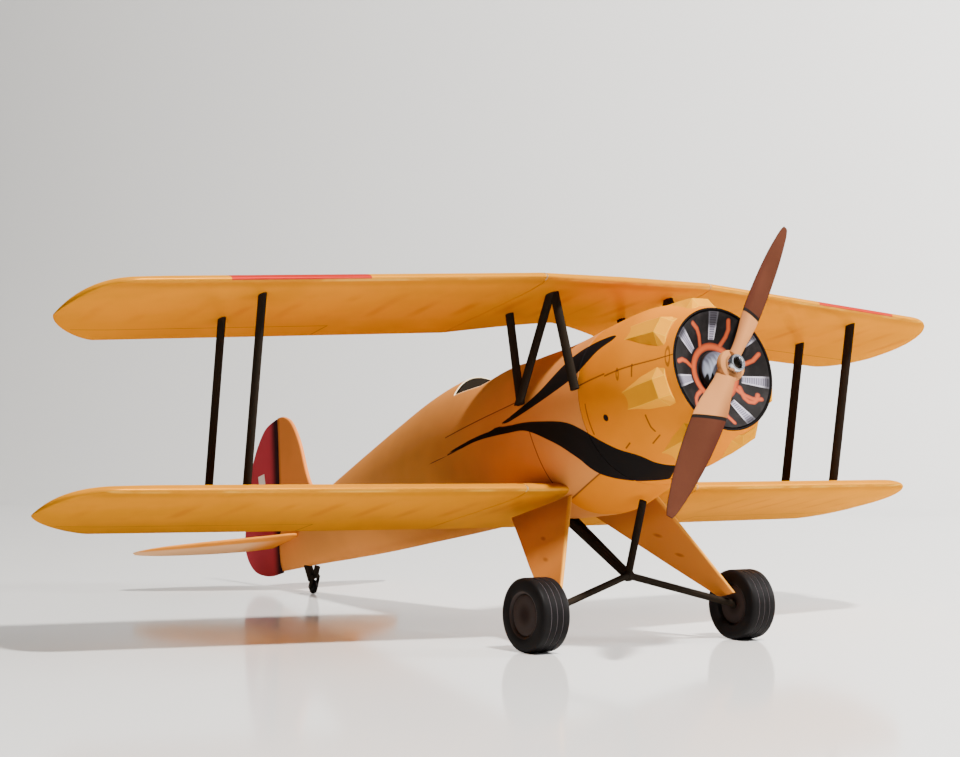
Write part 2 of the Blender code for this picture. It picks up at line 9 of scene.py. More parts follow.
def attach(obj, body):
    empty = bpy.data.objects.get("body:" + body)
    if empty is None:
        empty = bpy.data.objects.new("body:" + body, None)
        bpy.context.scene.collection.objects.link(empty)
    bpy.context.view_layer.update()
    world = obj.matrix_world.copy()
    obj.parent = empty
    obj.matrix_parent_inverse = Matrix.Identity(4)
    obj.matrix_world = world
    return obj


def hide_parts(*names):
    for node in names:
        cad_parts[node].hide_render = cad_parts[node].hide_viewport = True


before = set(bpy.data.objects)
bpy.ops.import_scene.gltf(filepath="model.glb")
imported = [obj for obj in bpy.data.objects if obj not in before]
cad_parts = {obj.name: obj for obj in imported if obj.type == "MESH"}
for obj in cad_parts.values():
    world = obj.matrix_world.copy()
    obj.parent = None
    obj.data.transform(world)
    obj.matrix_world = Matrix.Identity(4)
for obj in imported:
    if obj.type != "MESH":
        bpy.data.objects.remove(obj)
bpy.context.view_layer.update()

print("frame loaded")

# The airframe is drawn level: x to port, a aft from the axle, h up, all in millimetres.
attitude = dict(pitch=14.69, axleY=-85.51, axleHeight=8.95)


def toWorld(x, a, h):
    # level airframe millimetres to parked metres: turned nose up about the axle, then moved to the wheels' place
    x, a, h = np.broadcast_arrays(np.asarray(x, float), np.asarray(a, float), np.asarray(h, float))
    c, s = math.cos(math.radians(attitude["pitch"])), math.sin(math.radians(attitude["pitch"]))
    return np.stack((x, a * c + h * s + attitude["axleY"], h * c - a * s + attitude["axleHeight"]), -1) * 0.001


def alongTable(table, stations):
    # smooth rows of a table at new stations: a cubic through the rows, whose slopes come from the neighbours
    table = np.asarray(table, float)
    known = table[:, 0]
    slopes = np.empty_like(table)
    slopes[1:-1] = (table[2:] - table[:-2]) / (known[2:] - known[:-2])[:, None]
    slopes[0] = (table[1] - table[0]) / (known[1] - known[0])
    slopes[-1] = (table[-1] - table[-2]) / (known[-1] - known[-2])
    stations = np.clip(np.asarray(stations, float), known[0], known[-1])
    low = np.clip(np.searchsorted(known, stations, side="right") - 1, 0, len(known) - 2)
    span = (known[low + 1] - known[low])[..., None]
    t = (stations[..., None] - known[low][..., None]) / span
    return ((2 * t ** 3 - 3 * t ** 2 + 1) * table[low] + (t ** 3 - 2 * t ** 2 + t) * span * slopes[low]
            + (3 * t ** 2 - 2 * t ** 3) * table[low + 1] + (t ** 3 - t ** 2) * span * slopes[low + 1])


def smoothLine(points, steps):
    # a curve through the points: on each stretch a cubic that leaves along the line joining its neighbours
    points = np.asarray(points, float)
    p = np.concatenate((2 * points[:1] - points[1:2], points, 2 * points[-1:] - points[-2:-1]))
    t = np.linspace(0, 1, steps, endpoint=False)[None, :, None]
    p0, p1, p2, p3 = (p[k:len(p) - 3 + k, None] for k in range(4))
    curve = 0.5 * (2 * p1 + (p2 - p0) * t + (2 * p0 - 5 * p1 + 4 * p2 - p3) * t ** 2
                   + (3 * p1 - p0 - 3 * p2 + p3) * t ** 3)
    return np.concatenate((curve.reshape(-1, points.shape[1]), points[-1:]))


def withMiddles(values, ends):
    # a grid's values in one row, and after them the mean of each closed end
    flat = values.reshape(-1, *values.shape[2:])
    return np.concatenate((flat, *(values[row].mean(0)[None] for row in ends)))


def surface(name, grid, finish, ends="capped", around=True, uv=None, fields=None, smooth=True, sharp=None):
    # a grid of points to faces: each cell one quad, its columns closed round, its first and last row capped by a
    # fan, joined to each other, or left open
    rows, columns = grid.shape[:2]
    wrap = ((0, int(ends == "joined")), (0, int(around)))
    index = np.pad(np.arange(rows * columns).reshape(rows, columns), wrap, "wrap")
    both = np.stack((index, np.arange(index.size).reshape(index.shape)))  # numbers of the points, and of their UV
    corners = [np.stack((both[:, :-1, :-1], both[:, :-1, 1:], both[:, 1:, 1:], both[:, 1:, :-1]), -1).reshape(2, -1)]
    sizes = [np.full(corners[0].shape[1] // 4, 4)]
    capped = (0, -1) if ends == "capped" else ()
    for number, row in enumerate(capped):
        edge = both[:, row] if row else both[:, row, ::-1]
        centre = np.full_like(edge[:, 1:], number) + [[rows * columns], [index.size]]
        corners.append(np.stack((edge[:, :-1], edge[:, 1:], centre), -1).reshape(2, -1))
        sizes.append(np.full(edge.shape[1] - 1, 3))
    (loops, places), sizes = np.concatenate(corners, 1), np.concatenate(sizes)
    points, starts = withMiddles(grid, capped), np.cumsum(sizes) - sizes
    # outward: the faces' signed volume about their own middle must be positive
    middle = points - points.mean(0)
    a, b, c = (middle[loops[starts + k]] for k in range(3))
    d = middle[loops[starts + sizes - 1]]
    if (a * (np.cross(b, c) + np.cross(c, d))).sum() < 0:
        order = np.repeat(2 * starts + sizes - 1, sizes) - np.arange(len(loops))
        loops, places = loops[order], places[order]
    mesh = bpy.data.meshes.new(name)
    mesh.vertices.add(len(points))
    mesh.vertices.foreach_set("co", points.ravel())
    mesh.loops.add(len(loops))
    mesh.loops.foreach_set("vertex_index", loops.astype(np.int32))
    mesh.polygons.add(len(starts))
    mesh.polygons.foreach_set("loop_start", starts.astype(np.int32))
    mesh.update(calc_edges=True)
    mesh.validate()
    mesh.polygons.foreach_set("use_smooth", np.full(len(starts), smooth))
    if uv is not None:
        # a UV grid that stops before the seam is carried round it
        uv = np.pad(uv, [(0, full - given) for full, given in zip(index.shape, uv.shape)] + [(0, 0)], "wrap")
        layer = mesh.uv_layers.new(name="card")
        layer.data.foreach_set("uv", withMiddles(uv, capped)[places].astype(np.float32).ravel())
    for field, values in (fields or {}).items():
        attribute = mesh.attributes.new(field, "FLOAT", "POINT")
        attribute.data.foreach_set("value", withMiddles(values, capped).astype(np.float32))
    if sharp is not None:
        mesh.set_sharp_from_angle(angle=math.radians(sharp))
    mesh.materials.append(finish)
    piece = bpy.data.objects.new(name, mesh)
    bpy.context.scene.collection.objects.link(piece)
    return piece


def settle(piece, body, slotName, *nodes):
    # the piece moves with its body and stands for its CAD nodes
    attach(piece, body)
    if nodes:
        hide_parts(*nodes)


def modifier(piece, kind, **settings):
    added = piece.modifiers.new(kind.lower(), kind)
    for key, value in settings.items():
        setattr(added, key, value)


class Ink:
    # a value inside a recipe: + - * / and abs on it add the maths nodes
    def __init__(self, recipe, socket):
        self.recipe, self.socket = recipe, socket

    def __add__(self, other):
        return self.recipe.calc("ADD", self, other)

    def __sub__(self, other):
        return self.recipe.calc("SUBTRACT", self, other)

    def __mul__(self, other):
        return self.recipe.calc("MULTIPLY", self, other)

    def __truediv__(self, other):
        return self.recipe.calc("DIVIDE", self, other)

    def __abs__(self):
        return self.recipe.calc("ABSOLUTE", self)


class Recipe:
    # a material's node tree, with short ways to add and join its nodes
    def __init__(self, name):
        self.material = bpy.data.materials.new(name)
        self.material.use_nodes = True
        self.tree = self.material.node_tree
        self.tree.nodes.clear()
        output = self.tree.nodes.new("ShaderNodeOutputMaterial")
        self.shader = self.tree.nodes.new("ShaderNodeBsdfPrincipled")
        self.tree.links.new(self.shader.outputs[0], output.inputs["Surface"])

    def join(self, socket, value):
        # a worked-out value is linked, a shade is looked up by its name, a number is set
        if isinstance(value, Ink):
            self.tree.links.new(value.socket, socket)
        else:
            socket.default_value = shades[value] if isinstance(value, str) else value

    def node(self, kind, inputs, output=0, **settings):
        made = self.tree.nodes.new("ShaderNode" + kind)
        for key, value in settings.items():
            setattr(made, key, value)
        for key, value in inputs.items():
            self.join(made.inputs[key], value)
        return Ink(self, made.outputs[output])

    def calc(self, operation, first, second=0.0, clamp=False):
        return self.node("Math", {0: first, 1: second}, operation=operation, use_clamp=clamp)

    def vector(self, operation, first, second=(0.0, 0.0, 0.0), output=0, scale=1.0):
        return self.node("VectorMath", {0: first, 1: second, 3: scale}, output, operation=operation)

    def length(self, vector):
        return self.vector("LENGTH", vector, output=1)

    def away(self, place, a, up):
        return self.vector("SUBTRACT", place, (a, up, 0.0))

    def parts(self, vector):
        # a vector's three numbers
        made = self.node("SeparateXYZ", {"Vector": vector}).socket.node
        return [Ink(self, socket) for socket in made.outputs]

    def flat(self, x, y=0.0):
        return self.node("CombineXYZ", {"X": x, "Y": y})

    def mix(self, share, first, second):
        return self.node("Mix", {0: share, 6: first, 7: second}, 2, data_type="RGBA", blend_type="MIX")

    def step(self, value, start, end, low=0.0, high=1.0):
        # smooth change from low to high while the value goes from start to end
        inputs = {"Value": value, "From Min": start, "From Max": end, "To Min": low, "To Max": high}
        return self.node("MapRange", inputs, interpolation_type="SMOOTHSTEP")

    def below(self, value, limit, soft=0.1):
        # 1 under the limit, 0 over it
        return self.step(value, limit - soft, limit + soft, 1.0, 0.0)

    def between(self, value, low, high, soft=0.1):
        return self.step(value, low - soft, low + soft) * self.below(value, high, soft)

    def objectPlace(self):
        return self.node("TexCoord", {}, "Object")

    def noise(self, scale, detail=2.0, roughness=0.5, place=None):
        inputs = {"Scale": scale, "Detail": detail, "Roughness": roughness, "Vector": place or self.objectPlace()}
        return self.node("TexNoise", inputs)

    def field(self, name):
        return self.node("Attribute", {}, "Fac", attribute_name=name)

    def cardPlace(self):
        return self.node("UVMap", {}, uv_map="card")

    def pathDistance(self, place, points):
        # distance from the UV place to the nearest stretch of a line through the points, all in millimetres
        points, nearest = np.array(points, float), None
        for start, along in zip(points, np.diff(points, axis=0)):
            away = self.away(place, *start)
            share = self.vector("DOT_PRODUCT", away, (*along, 0.0), 1)
            share = self.calc("MULTIPLY", share, 1.0 / float(along @ along), clamp=True)
            reach = self.vector("SCALE", (*along, 0.0), scale=share)
            distance = self.length(self.vector("SUBTRACT", away, reach))
            nearest = distance if nearest is None else self.calc("MINIMUM", nearest, distance)
        return nearest

    def line(self, place, points, width, soft=0.08):
        # 1 on a thin printed line through the points, 0 off it
        return self.below(self.pathDistance(place, points), width / 2, soft)

    def finish(self, colour, roughness, height, strength, distance, **constants):
        self.join(self.shader.inputs["Base Color"], colour)
        bump = self.node("Bump", {"Height": height, "Strength": strength, "Distance": distance})
        self.join(self.shader.inputs["Normal"], bump)
        for key, value in {"Roughness": roughness, **constants}.items():
            self.shader.inputs[key.replace("_", " ")].default_value = value
        return self.material


def cardColour(recipe, shade, spread=0.06):
    # printed card: the ink varies a little in broad clouds and in fine grain
    base = np.array(shades[shade][:3])
    clouds = recipe.step(recipe.noise(38.0, 3.0, 0.55), 0.35, 0.65)
    grain = recipe.noise(2600.0, 2.0, 0.6)
    colour = recipe.mix(clouds, (*base * (1 - spread), 1.0), (*np.minimum(base * (1 + spread), 1.0), 1.0))
    return recipe.mix(grain * 0.05, colour, (*(base * 0.7 + (0.15, 0.10, 0.0)), 1.0)), grain


def cardRelief(recipe, grain):
    # card is never quite flat: fibres, and broad shallow waves
    return grain * 0.02 + recipe.noise(24.0, 1.0, 0.4)


def glowing(recipe, colour, grain, roughness, share):
    # coated card: a small share of mirror light, warm like the ink even at a flat angle
    return recipe.finish(colour, roughness, cardRelief(recipe, grain), 0.25, 0.0006, Metallic=share,
                         Specular_IOR_Level=0.0, Specular_Tint=(0.9, 0.6, 0.08, 1))


def matt(recipe, colour, grain, roughness, strength, gloss=0.0):
    # uncoated card or paper, with next to no gloss
    return recipe.finish(colour, roughness, cardRelief(recipe, grain), strength, 0.0004, Specular_IOR_Level=gloss)


print("tools ready")

hull = dict(
    # a, half width, belt height, top, bottom, power above the belt, power below it
    sections=((-43.7, 15.1, 49.8, 64.9, 34.7, 2.0, 2.0), (-36.0, 18.0, 49.8, 67.8, 31.8, 2.0, 2.0),
              (-29.0, 20.1, 49.8, 69.9, 29.7, 2.0, 2.0), (-20.0, 20.8, 49.6, 70.3, 29.1, 2.0, 2.0),
              (-12.0, 20.6, 49.3, 70.2, 28.4, 2.0, 2.1), (-4.0, 20.2, 49.0, 70.0, 26.8, 2.0, 2.2),
              (5.0, 19.4, 49.0, 70.2, 25.5, 2.0, 2.4), (15.0, 18.4, 49.0, 70.8, 26.6, 2.1, 2.5),
              (28.0, 17.2, 49.5, 71.8, 28.6, 2.1, 2.7), (42.0, 15.7, 50.5, 73.8, 30.8, 2.1, 2.8),
              (57.0, 14.0, 51.5, 75.4, 32.8, 2.1, 2.9), (75.0, 11.9, 52.0, 74.7, 34.2, 2.1, 2.9),
              (95.0, 9.6, 52.2, 72.0, 35.8, 2.1, 2.8), (115.0, 7.4, 52.2, 68.8, 37.4, 2.1, 2.7),
              (135.0, 5.4, 52.0, 65.4, 39.4, 2.1, 2.6), (155.0, 3.6, 52.0, 61.8, 41.6, 2.1, 2.4),
              (178.3, 1.4, 52.0, 57.5, 44.0, 2.1, 2.2)),
    cowlFront=-43.7, cowlRear=-13.4, shellFront=-13.1, archA=56.5, tail=178.3, leanStart=150.0, lean=0.157,
    thrust=49.8,  # height of the thrust line
    recess=((1.0, 4.6), (14.5, 4.6), (14.5, 2.0), (14.55, 0.3), (14.75, 0.0)),  # radius, depth behind the front
    seam=0.03,  # first rings this close to a seam keep its edge from being shaded round
    cockpitFront=29.0, cockpitStraight=42.0, cockpitHalf=10.3, cockpitRearHalf=9.4,
    cardThickness=0.35, flareReach=20.0, flareCentre=50.0)


def hullRing(a, angle):
    # a ring of the hull: a squared oval, its sideways and upright reach powers of cosine and sine
    row = alongTable(hull["sections"], a)
    width, belt, top, bottom, powerUp, powerDown = (row[..., k] for k in range(1, 7))
    c, s = np.cos(angle), np.sin(angle)
    power = 2.0 / np.where(s >= 0, powerUp, powerDown)
    x = width * np.sign(c) * np.abs(c) ** power
    h = belt + np.where(s >= 0, top - belt, bottom - belt) * np.abs(s) ** power
    return x, h


def sidePlace(x, h):
    # how far up the side a hull point is, rolled out flat: the angle about the middle line times a mean radius
    return hull["flareReach"] * np.arctan2(h - hull["flareCentre"], np.abs(x))


def hullGrid(stations, angles):
    a = np.broadcast_to(stations[:, None], (len(stations), np.shape(angles)[-1]))
    angle = np.broadcast_to(angles, a.shape)
    x, h = hullRing(a, angle)
    return x, a, h


def ringUv(x, a, h):
    # UV in millimetres: a along, the rolled-out height across
    return np.stack((a, sidePlace(x, h)), -1)


def polygonDistance(points, outline):
    # distance to a closed outline, negative inside; inside where a line to the right crosses it an odd number of times
    start, end = outline, np.roll(outline, -1, 0)
    flat = points.reshape(-1, 1, 2)
    along = (end - start)[None]
    away = flat - start[None]
    share = np.clip((away * along).sum(-1) / (along * along).sum(-1), 0, 1)
    distance = np.sqrt(((away - along * share[..., None]) ** 2).sum(-1)).min(-1)
    above = (start[None, :, 1] > flat[..., 1]) != (end[None, :, 1] > flat[..., 1])
    with np.errstate(divide="ignore", invalid="ignore"):
        crossing = start[None, :, 0] + (flat[..., 1] - start[None, :, 1]) / along[..., 1] * along[..., 0]
    inside = (above & (flat[..., 0] < crossing)).sum(-1) % 2 == 1
    return np.where(inside, -distance, distance).reshape(points.shape[:-1])


swoosh = dict(
    # edges of the black flare as (a, x, h) on the hull: over the top, into the fork and out again, back along below
    upperOuter=((70.0, 12.5, 53.0), (60.0, 13.7, 53.3), (50.0, 14.8, 53.6), (42.0, 15.6, 53.7), (35.0, 16.3, 53.45),
                (29.7, 16.9, 53.3), (17.3, 17.6, 54.8), (5.6, 17.8, 57.2), (-4.4, 16.1, 61.7), (-7.5, 15.4, 62.8),
                (-12.7, 15.1, 63.6), (-22.1, 15.4, 63.4), (-25.9, 15.8, 62.7)),
    upperInner=((-24.6, 16.6, 61.8), (-19.9, 17.6, 60.6), (-15.1, 18.8, 58.1), (-8.9, 19.4, 55.9), (3.9, 18.9, 54.3),
                (18.0, 17.8, 53.2), (28.0, 16.9, 52.9)),
    lowerInner=((28.6, 16.9, 52.55), (20.0, 17.9, 51.95), (12.8, 18.5, 50.9), (6.0, 19.3, 49.4), (-5.5, 20.1, 46.3),
                (-11.5, 19.8, 43.0), (-16.1, 18.0, 39.0), (-19.7, 15.4, 35.9), (-23.4, 12.5, 33.5),
                (-24.9, 9.0, 31.4), (-27.4, 5.1, 30.2)),
    lowerOuter=((-18.1, 0.0, 29.0), (-15.9, 3.4, 29.1), (-13.9, 6.0, 29.5), (-11.2, 9.9, 30.6), (-8.5, 13.5, 32.5),
                (-7.2, 15.7, 34.4), (-5.7, 17.6, 37.2), (-1.4, 19.1, 41.2), (5.0, 19.3, 45.0), (11.1, 18.8, 48.0),
                (15.5, 18.3, 49.4), (21.4, 17.7, 50.3), (29.8, 17.0, 51.5), (36.0, 16.2, 52.2), (42.0, 15.6, 52.6),
                (50.0, 14.8, 52.6), (60.0, 13.6, 52.75), (69.0, 12.6, 52.95)))


def swooshOutline():
    edges = []
    for edge in ("upperOuter", "upperInner", "lowerInner", "lowerOuter"):
        a, x, h = np.array(swoosh[edge]).T
        edges.append(smoothLine(np.stack((a, sidePlace(x, h)), -1), 5))
    return np.concatenate(edges)


flareEdge = swooshOutline()


def flareField(x, a, h):
    return polygonDistance(np.stack((a, sidePlace(x, h)), -1), flareEdge)


shades = dict(  # linear light
    hull=(0.60, 0.22, 0.050), leg=(0.54, 0.185, 0.030), tailCard=(0.62, 0.19, 0.040), orange=(0.60, 0.225, 0.002),
    tailplane=(0.62, 0.21, 0.02), cowl=(0.62, 0.185, 0.002), rocker=(0.66, 0.26, 0.002), fold=(0.70, 0.36, 0.01),
    edge=(0.86, 0.72, 0.50), line=(0.07, 0.022, 0.010), black=(0.009, 0.008, 0.008), blackPaper=(0.014, 0.011, 0.010),
    red=(0.40, 0.038, 0.055), wingBand=(0.42, 0.014, 0.018), rudderBar=(0.78, 0.66, 0.60),
    wingRibShadow=(0.42, 0.11, 0.004), wingNoseShade=(0.10, 0.032, 0.0005), wingNoseHighlight=(0.85, 0.50, 0.08),
    engineBlack=(0.009, 0.008, 0.008), soot=(0.020, 0.017, 0.017), copper=(0.40, 0.070, 0.021),
    copperDark=(0.19, 0.034, 0.015), finDark=(0.09, 0.085, 0.12), finPale=(0.34, 0.32, 0.41),
    finEdge=(0.50, 0.48, 0.56), finGrain=(0.16, 0.15, 0.19), steelBlue=(0.06, 0.06, 0.08),
    steelGleam=(0.30, 0.33, 0.42), brown=(0.066, 0.021, 0.0135), tan=(0.45, 0.185, 0.062), band=(0.012, 0.010, 0.009),
    tanShade=(0.13, 0.04, 0.016), brownShade=(0.045, 0.012, 0.008), bossNutShadow=(0.16, 0.06, 0.02),
    steelDark=(0.50, 0.52, 0.56), steelPale=(0.66, 0.67, 0.70), tyre=(0.0045, 0.004, 0.0042), tyrePale=(0.008, 0.007, 0.007),
    tyreGroove=(0.07, 0.06, 0.065), paperLip=(0.034, 0.026, 0.024), hubDark=(0.016, 0.009, 0.008),
    legDimple=(0.16, 0.035, 0.006), legUnderWingShade=(0.22, 0.055, 0.012), legEdgeHighlight=(0.66, 0.28, 0.03),
    rudderShade=(0.012, 0.010, 0.012), planePale=(0.68, 0.44, 0.26), finShade=(0.12, 0.04, 0.02))
shades = {name: (*colour, 1.0) for name, colour in shades.items()}

printed = dict(
    # thin brown lines on the hull as (a, rolled-out height), and the ovals of the cowl's catches
    cowl=(((-13.6, 3.2), (-24.0, 3.35)), ((-24.3, 2.8), (-32.6, 3.2), (-39.1, 3.4), (-43.6, 3.9)),
          ((-32.7, 0.5), (-33.0, 3.5)), ((-15.6, -1.8), (-15.2, -9.0)), ((-21.8, -15.1), (-24.1, -14.3)),
          ((-32.9, -9.8), (-32.4, -13.1), (-32.6, -14.5)), ((-29.8, -16.9), (-32.8, -16.0))),
    fuselage=(((57.0, 10.5), (17.5, 8.2)), ((11.1, -2.0), (9.6, -7.8), (7.9, -16.0)),
              ((6.9, -20.6), (2.3, -19.8), (-8.3, -18.1), (-13.0, -17.5))),
    width=0.36, edgeSoft=0.08,
    chin=((6.9, -20.6), (-13.0, -17.5)), dot=(-21.5, -6.6, 0.82),
    smallCatch=(-28.6, 2.1, 0.35, 1.1), longCatch=(-42.2, 3.7, 0.55, 2.7))


def ovalRing(recipe, place, oval, wall):
    # distance from an upright oval's edge, as a share of its size, turned into a thin ring
    a, up, halfWide, halfTall = oval
    scaled = recipe.vector("MULTIPLY", recipe.away(place, a, up), (1 / halfWide, 1 / halfTall, 0.0))
    return recipe.below(abs(recipe.length(scaled) - 1.0), wall, wall * 0.4)


def hullFinish(name, shade, part):
    recipe = Recipe(name)
    place = recipe.cardPlace()
    colour, grain = cardColour(recipe, shade)
    if part == "fuselage":
        # the cowl's colour runs on under the chin, below a slanting line
        (endA, endUp), (startA, startUp) = printed["chin"]
        slope = (endUp - startUp) / (endA - startA)
        a, up, _ = recipe.parts(place)
        level = a * -slope + (up + (slope * startA - startUp))
        colour = recipe.mix(recipe.below(level, 0.0) * recipe.below(a, endA), colour, "cowl")
    for points in printed[part]:
        mark = recipe.line(place, points, printed["width"], 0.12)
        colour = recipe.mix(mark * 0.85, colour, "line")
    if part == "cowl":
        for oval, wall in ((printed["smallCatch"], 0.45), (printed["longCatch"], 0.25)):
            colour = recipe.mix(ovalRing(recipe, place, oval, wall) * 0.6, colour, "line")
        a, up, radius = printed["dot"]
        away = recipe.length(recipe.away(place, a, up))
        colour = recipe.mix(recipe.below(away, radius, printed["edgeSoft"]), colour, "black")
    flare = recipe.below(recipe.field("flare"), 0.0, printed["edgeSoft"])
    colour = recipe.mix(flare, colour, "black")
    colour = recipe.mix(recipe.step(recipe.field("cut"), 0.80, 0.92), colour, "edge")
    return glowing(recipe, colour, grain, 0.42, 0.10)


def plainFinish(name, shade, roughness, gloss=0.0):
    recipe = Recipe(name)
    return matt(recipe, *cardColour(recipe, shade), roughness, 0.3, gloss)


finishes = dict(fuselage=hullFinish("fuselageCard", "hull", "fuselage"), cowl=hullFinish("cowlCard", "cowl", "cowl"),
                rocker=plainFinish("rockerCard", "rocker", 0.4), fold=plainFinish("foldedCardEdge", "fold", 0.5, 0.02),
                blackPaper=plainFinish("blackPaper", "blackPaper", 0.7))


def buildCowl():
    # cowl shell: the hull's rings from the front edge back, turned in at the front round the recess, closed behind
    stations = np.linspace(hull["cowlFront"], hull["cowlRear"], 46)
    angles = np.linspace(0, 2 * math.pi, 168, endpoint=False)
    r, depth = np.array(hull["recess"]).T[..., None]
    recess = np.broadcast_arrays(r * np.cos(angles), hull["cowlFront"] + depth, hull["thrust"] + r * np.sin(angles))
    x, a, h = np.concatenate((np.array(recess), np.array(hullGrid(stations, angles))), 1)
    flare = flareField(x, a, h)
    flare[:len(r) + 1] = -3.0  # the recess and the front edge are black all round
    piece = surface("cowlSkin", toWorld(x, a, h), finishes["cowl"], uv=ringUv(x, a, h), fields={"flare": flare},
                    sharp=40)
    settle(piece, "airframe", "cowl_card", "cowl")


def openingAngle(stations):
    # where the cockpit's edge cuts each ring: the ring angle whose sideways reach is the opening's half width
    straight, front = hull["cockpitStraight"], hull["cockpitFront"]
    half = np.interp(stations, (straight, hull["archA"]), (hull["cockpitHalf"], hull["cockpitRearHalf"]))
    round_ = np.clip((straight - stations) / (straight - front), 0, 1)
    half = half * np.sqrt(1 - round_ ** 2)
    row = alongTable(hull["sections"], stations)
    return np.arccos(np.clip((half / row[:, 1]) ** (row[:, 5] / 2), 0, 1))


def fuselagePart(name, grid, openEdge, node, around):
    # grid: the rings where they stand, and again where the print is laid on them; card has a thickness inwards
    piece = surface(name, toWorld(*grid[0]), finishes["fuselage"], ends="open", around=around, uv=ringUv(*grid[1]),
                    fields={"flare": flareField(*grid[1]), "cut": openEdge})
    modifier(piece, "SOLIDIFY", thickness=hull["cardThickness"] * 0.001, offset=-1.0)
    settle(piece, "airframe", "orange_card", node)


def buildFuselage():
    # front shell: rings that stay open between the two edges of the cockpit
    front, start, straight = hull["shellFront"], hull["cockpitFront"], hull["cockpitStraight"]
    arch, seam = hull["archA"], hull["seam"]
    stations = np.concatenate(((front, front + seam), np.linspace(front, start - 0.4, 48)[1:],
                               start + (straight - start) * (1 - np.cos(np.linspace(0, math.pi / 2, 14)))[:-1],
                               np.linspace(straight, arch, 18)[:-1], (arch - seam, arch)))
    edge = openingAngle(stations)
    angles = edge[:, None] - np.linspace(0, 1, 169)[None] * (math.pi + 2 * edge[:, None])
    a = np.broadcast_to(stations[:, None], angles.shape)
    x, h = hullRing(a, angles)
    openEdge = np.zeros(a.shape)
    openEdge[stations > start, 0] = openEdge[stations > start, -1] = 1.0
    fuselagePart("fuselageShell", ((x, a, h), (x, a, h)), openEdge, "fuselage_middle", False)
    # turtle deck and tail: closed rings from the arch to the rudder post, which leans like the hinge
    stations = np.concatenate(((arch, arch + seam), np.linspace(arch, hull["tail"], 120)[1:]))
    x, a, h = hullGrid(stations, np.linspace(0, 2 * math.pi, 144, endpoint=False))
    openEdge = np.zeros(a.shape)
    openEdge[0] = (np.abs(x[0]) < hull["cockpitRearHalf"]) & (h[0] > 60)
    lean = np.clip((a - hull["leanStart"]) / (hull["tail"] - hull["leanStart"]), 0, 1) ** 2
    post = a + lean * (hull["sections"][-1][3] - h) * hull["lean"]
    fuselagePart("fuselageTail", ((x, post, h), (x, a, h)), openEdge, "fuselage_rear", True)


rocker = dict(
    # a, half width and radius of the flat crown, half width and radius of the foot inside the cowl
    rings=((-41.3, 2.4, 16.3, 4.8, 15.1), (-39.5, 2.4, 18.7, 4.9, 15.9), (-34.5, 2.4, 19.45, 4.3, 17.7),
           (-28.2, 2.1, 20.05, 2.9, 19.5)), count=7, first=90.0, edgeWidth=0.07)


def buildRockerCovers():
    # folded card boxes round the cowl, one in front of each cylinder: flat crown, sloping cheeks, upright front
    for k in range(rocker["count"]):
        angle = math.radians(rocker["first"] + k * 360 / rocker["count"])
        a, crown, crownR, foot, footR = np.array(rocker["rings"]).T
        sideways = np.stack((-foot, -crown, crown, foot), 1)
        outward = np.stack((footR, crownR, crownR, footR), 1)
        x = outward * math.cos(angle) - sideways * math.sin(angle)
        h = hull["thrust"] + outward * math.sin(angle) + sideways * math.cos(angle)
        piece = surface("rockerCover%d" % (k + 1), toWorld(x, a[:, None], h), finishes["rocker"], smooth=False)
        piece.data.materials.append(finishes["fold"])
        modifier(piece, "BEVEL", width=rocker["edgeWidth"] * 0.001, segments=1, limit_method="ANGLE",
                 angle_limit=math.radians(25), material=1)
        settle(piece, "airframe", "cowl_card")


buildCowl()
buildRockerCovers()
buildFuselage()
print("fuselage built")

engine = dict(centreA=-43.7,
              # distance forward of the cowl's front edge, radius
              face=((-4.0, 0.02), (-4.0, 14.3), (-0.15, 14.3), (-0.45, 13.5), (-3.2, 7.0), (-3.4, 5.2), (-3.4, 0.02)),
              dome=((-3.1, 0.02), (-3.1, 5.0), (-2.3, 4.95), (-0.9, 4.0), (0.3, 2.3), (0.9, 0.8), (0.9, 0.02)),
              cylinderHalf=6.3, cylinderInner=8.0, cylinderOuter=13.7, topCut=2.2, finGap=0.52,
              ringMiddle=6.375, ringHalf=0.875, armOffset=27.0,
              arm=((7.2, 0.2), (9.5, -0.25), (11.3, -0.1), (13.0, 0.9)), armWidth=1.15,
              # radius and angle of the looped arm
              loop=((7.6, 331), (8.6, 323), (9.6, 317), (10.8, 315.5), (11.8, 318.5), (12.2, 324), (12.0, 330)))


def resample(profile, gap):
    # extra points on each straight stretch of a profile, no further apart than the gap
    profile = np.asarray(profile, float)
    parts = []
    for start, end in zip(profile[:-1], profile[1:]):
        count = max(int(np.linalg.norm(end - start) / gap), 1)
        parts.append(start + (end - start) * np.linspace(0, 1, count, endpoint=False)[:, None])
    return np.concatenate(parts + [profile[-1:]])


def turned(profile, columns, centre):
    # a profile of (forward, radius) turned about the thrust line: world points, and UV across the disc
    forward, radius = np.asarray(profile, float).T[..., None]
    angle = np.linspace(0, 2 * math.pi, columns, endpoint=False)
    x, up = radius * np.cos(angle), radius * np.sin(angle)
    return toWorld(x, centre - forward, hull["thrust"] + up), np.stack((x, up), -1)


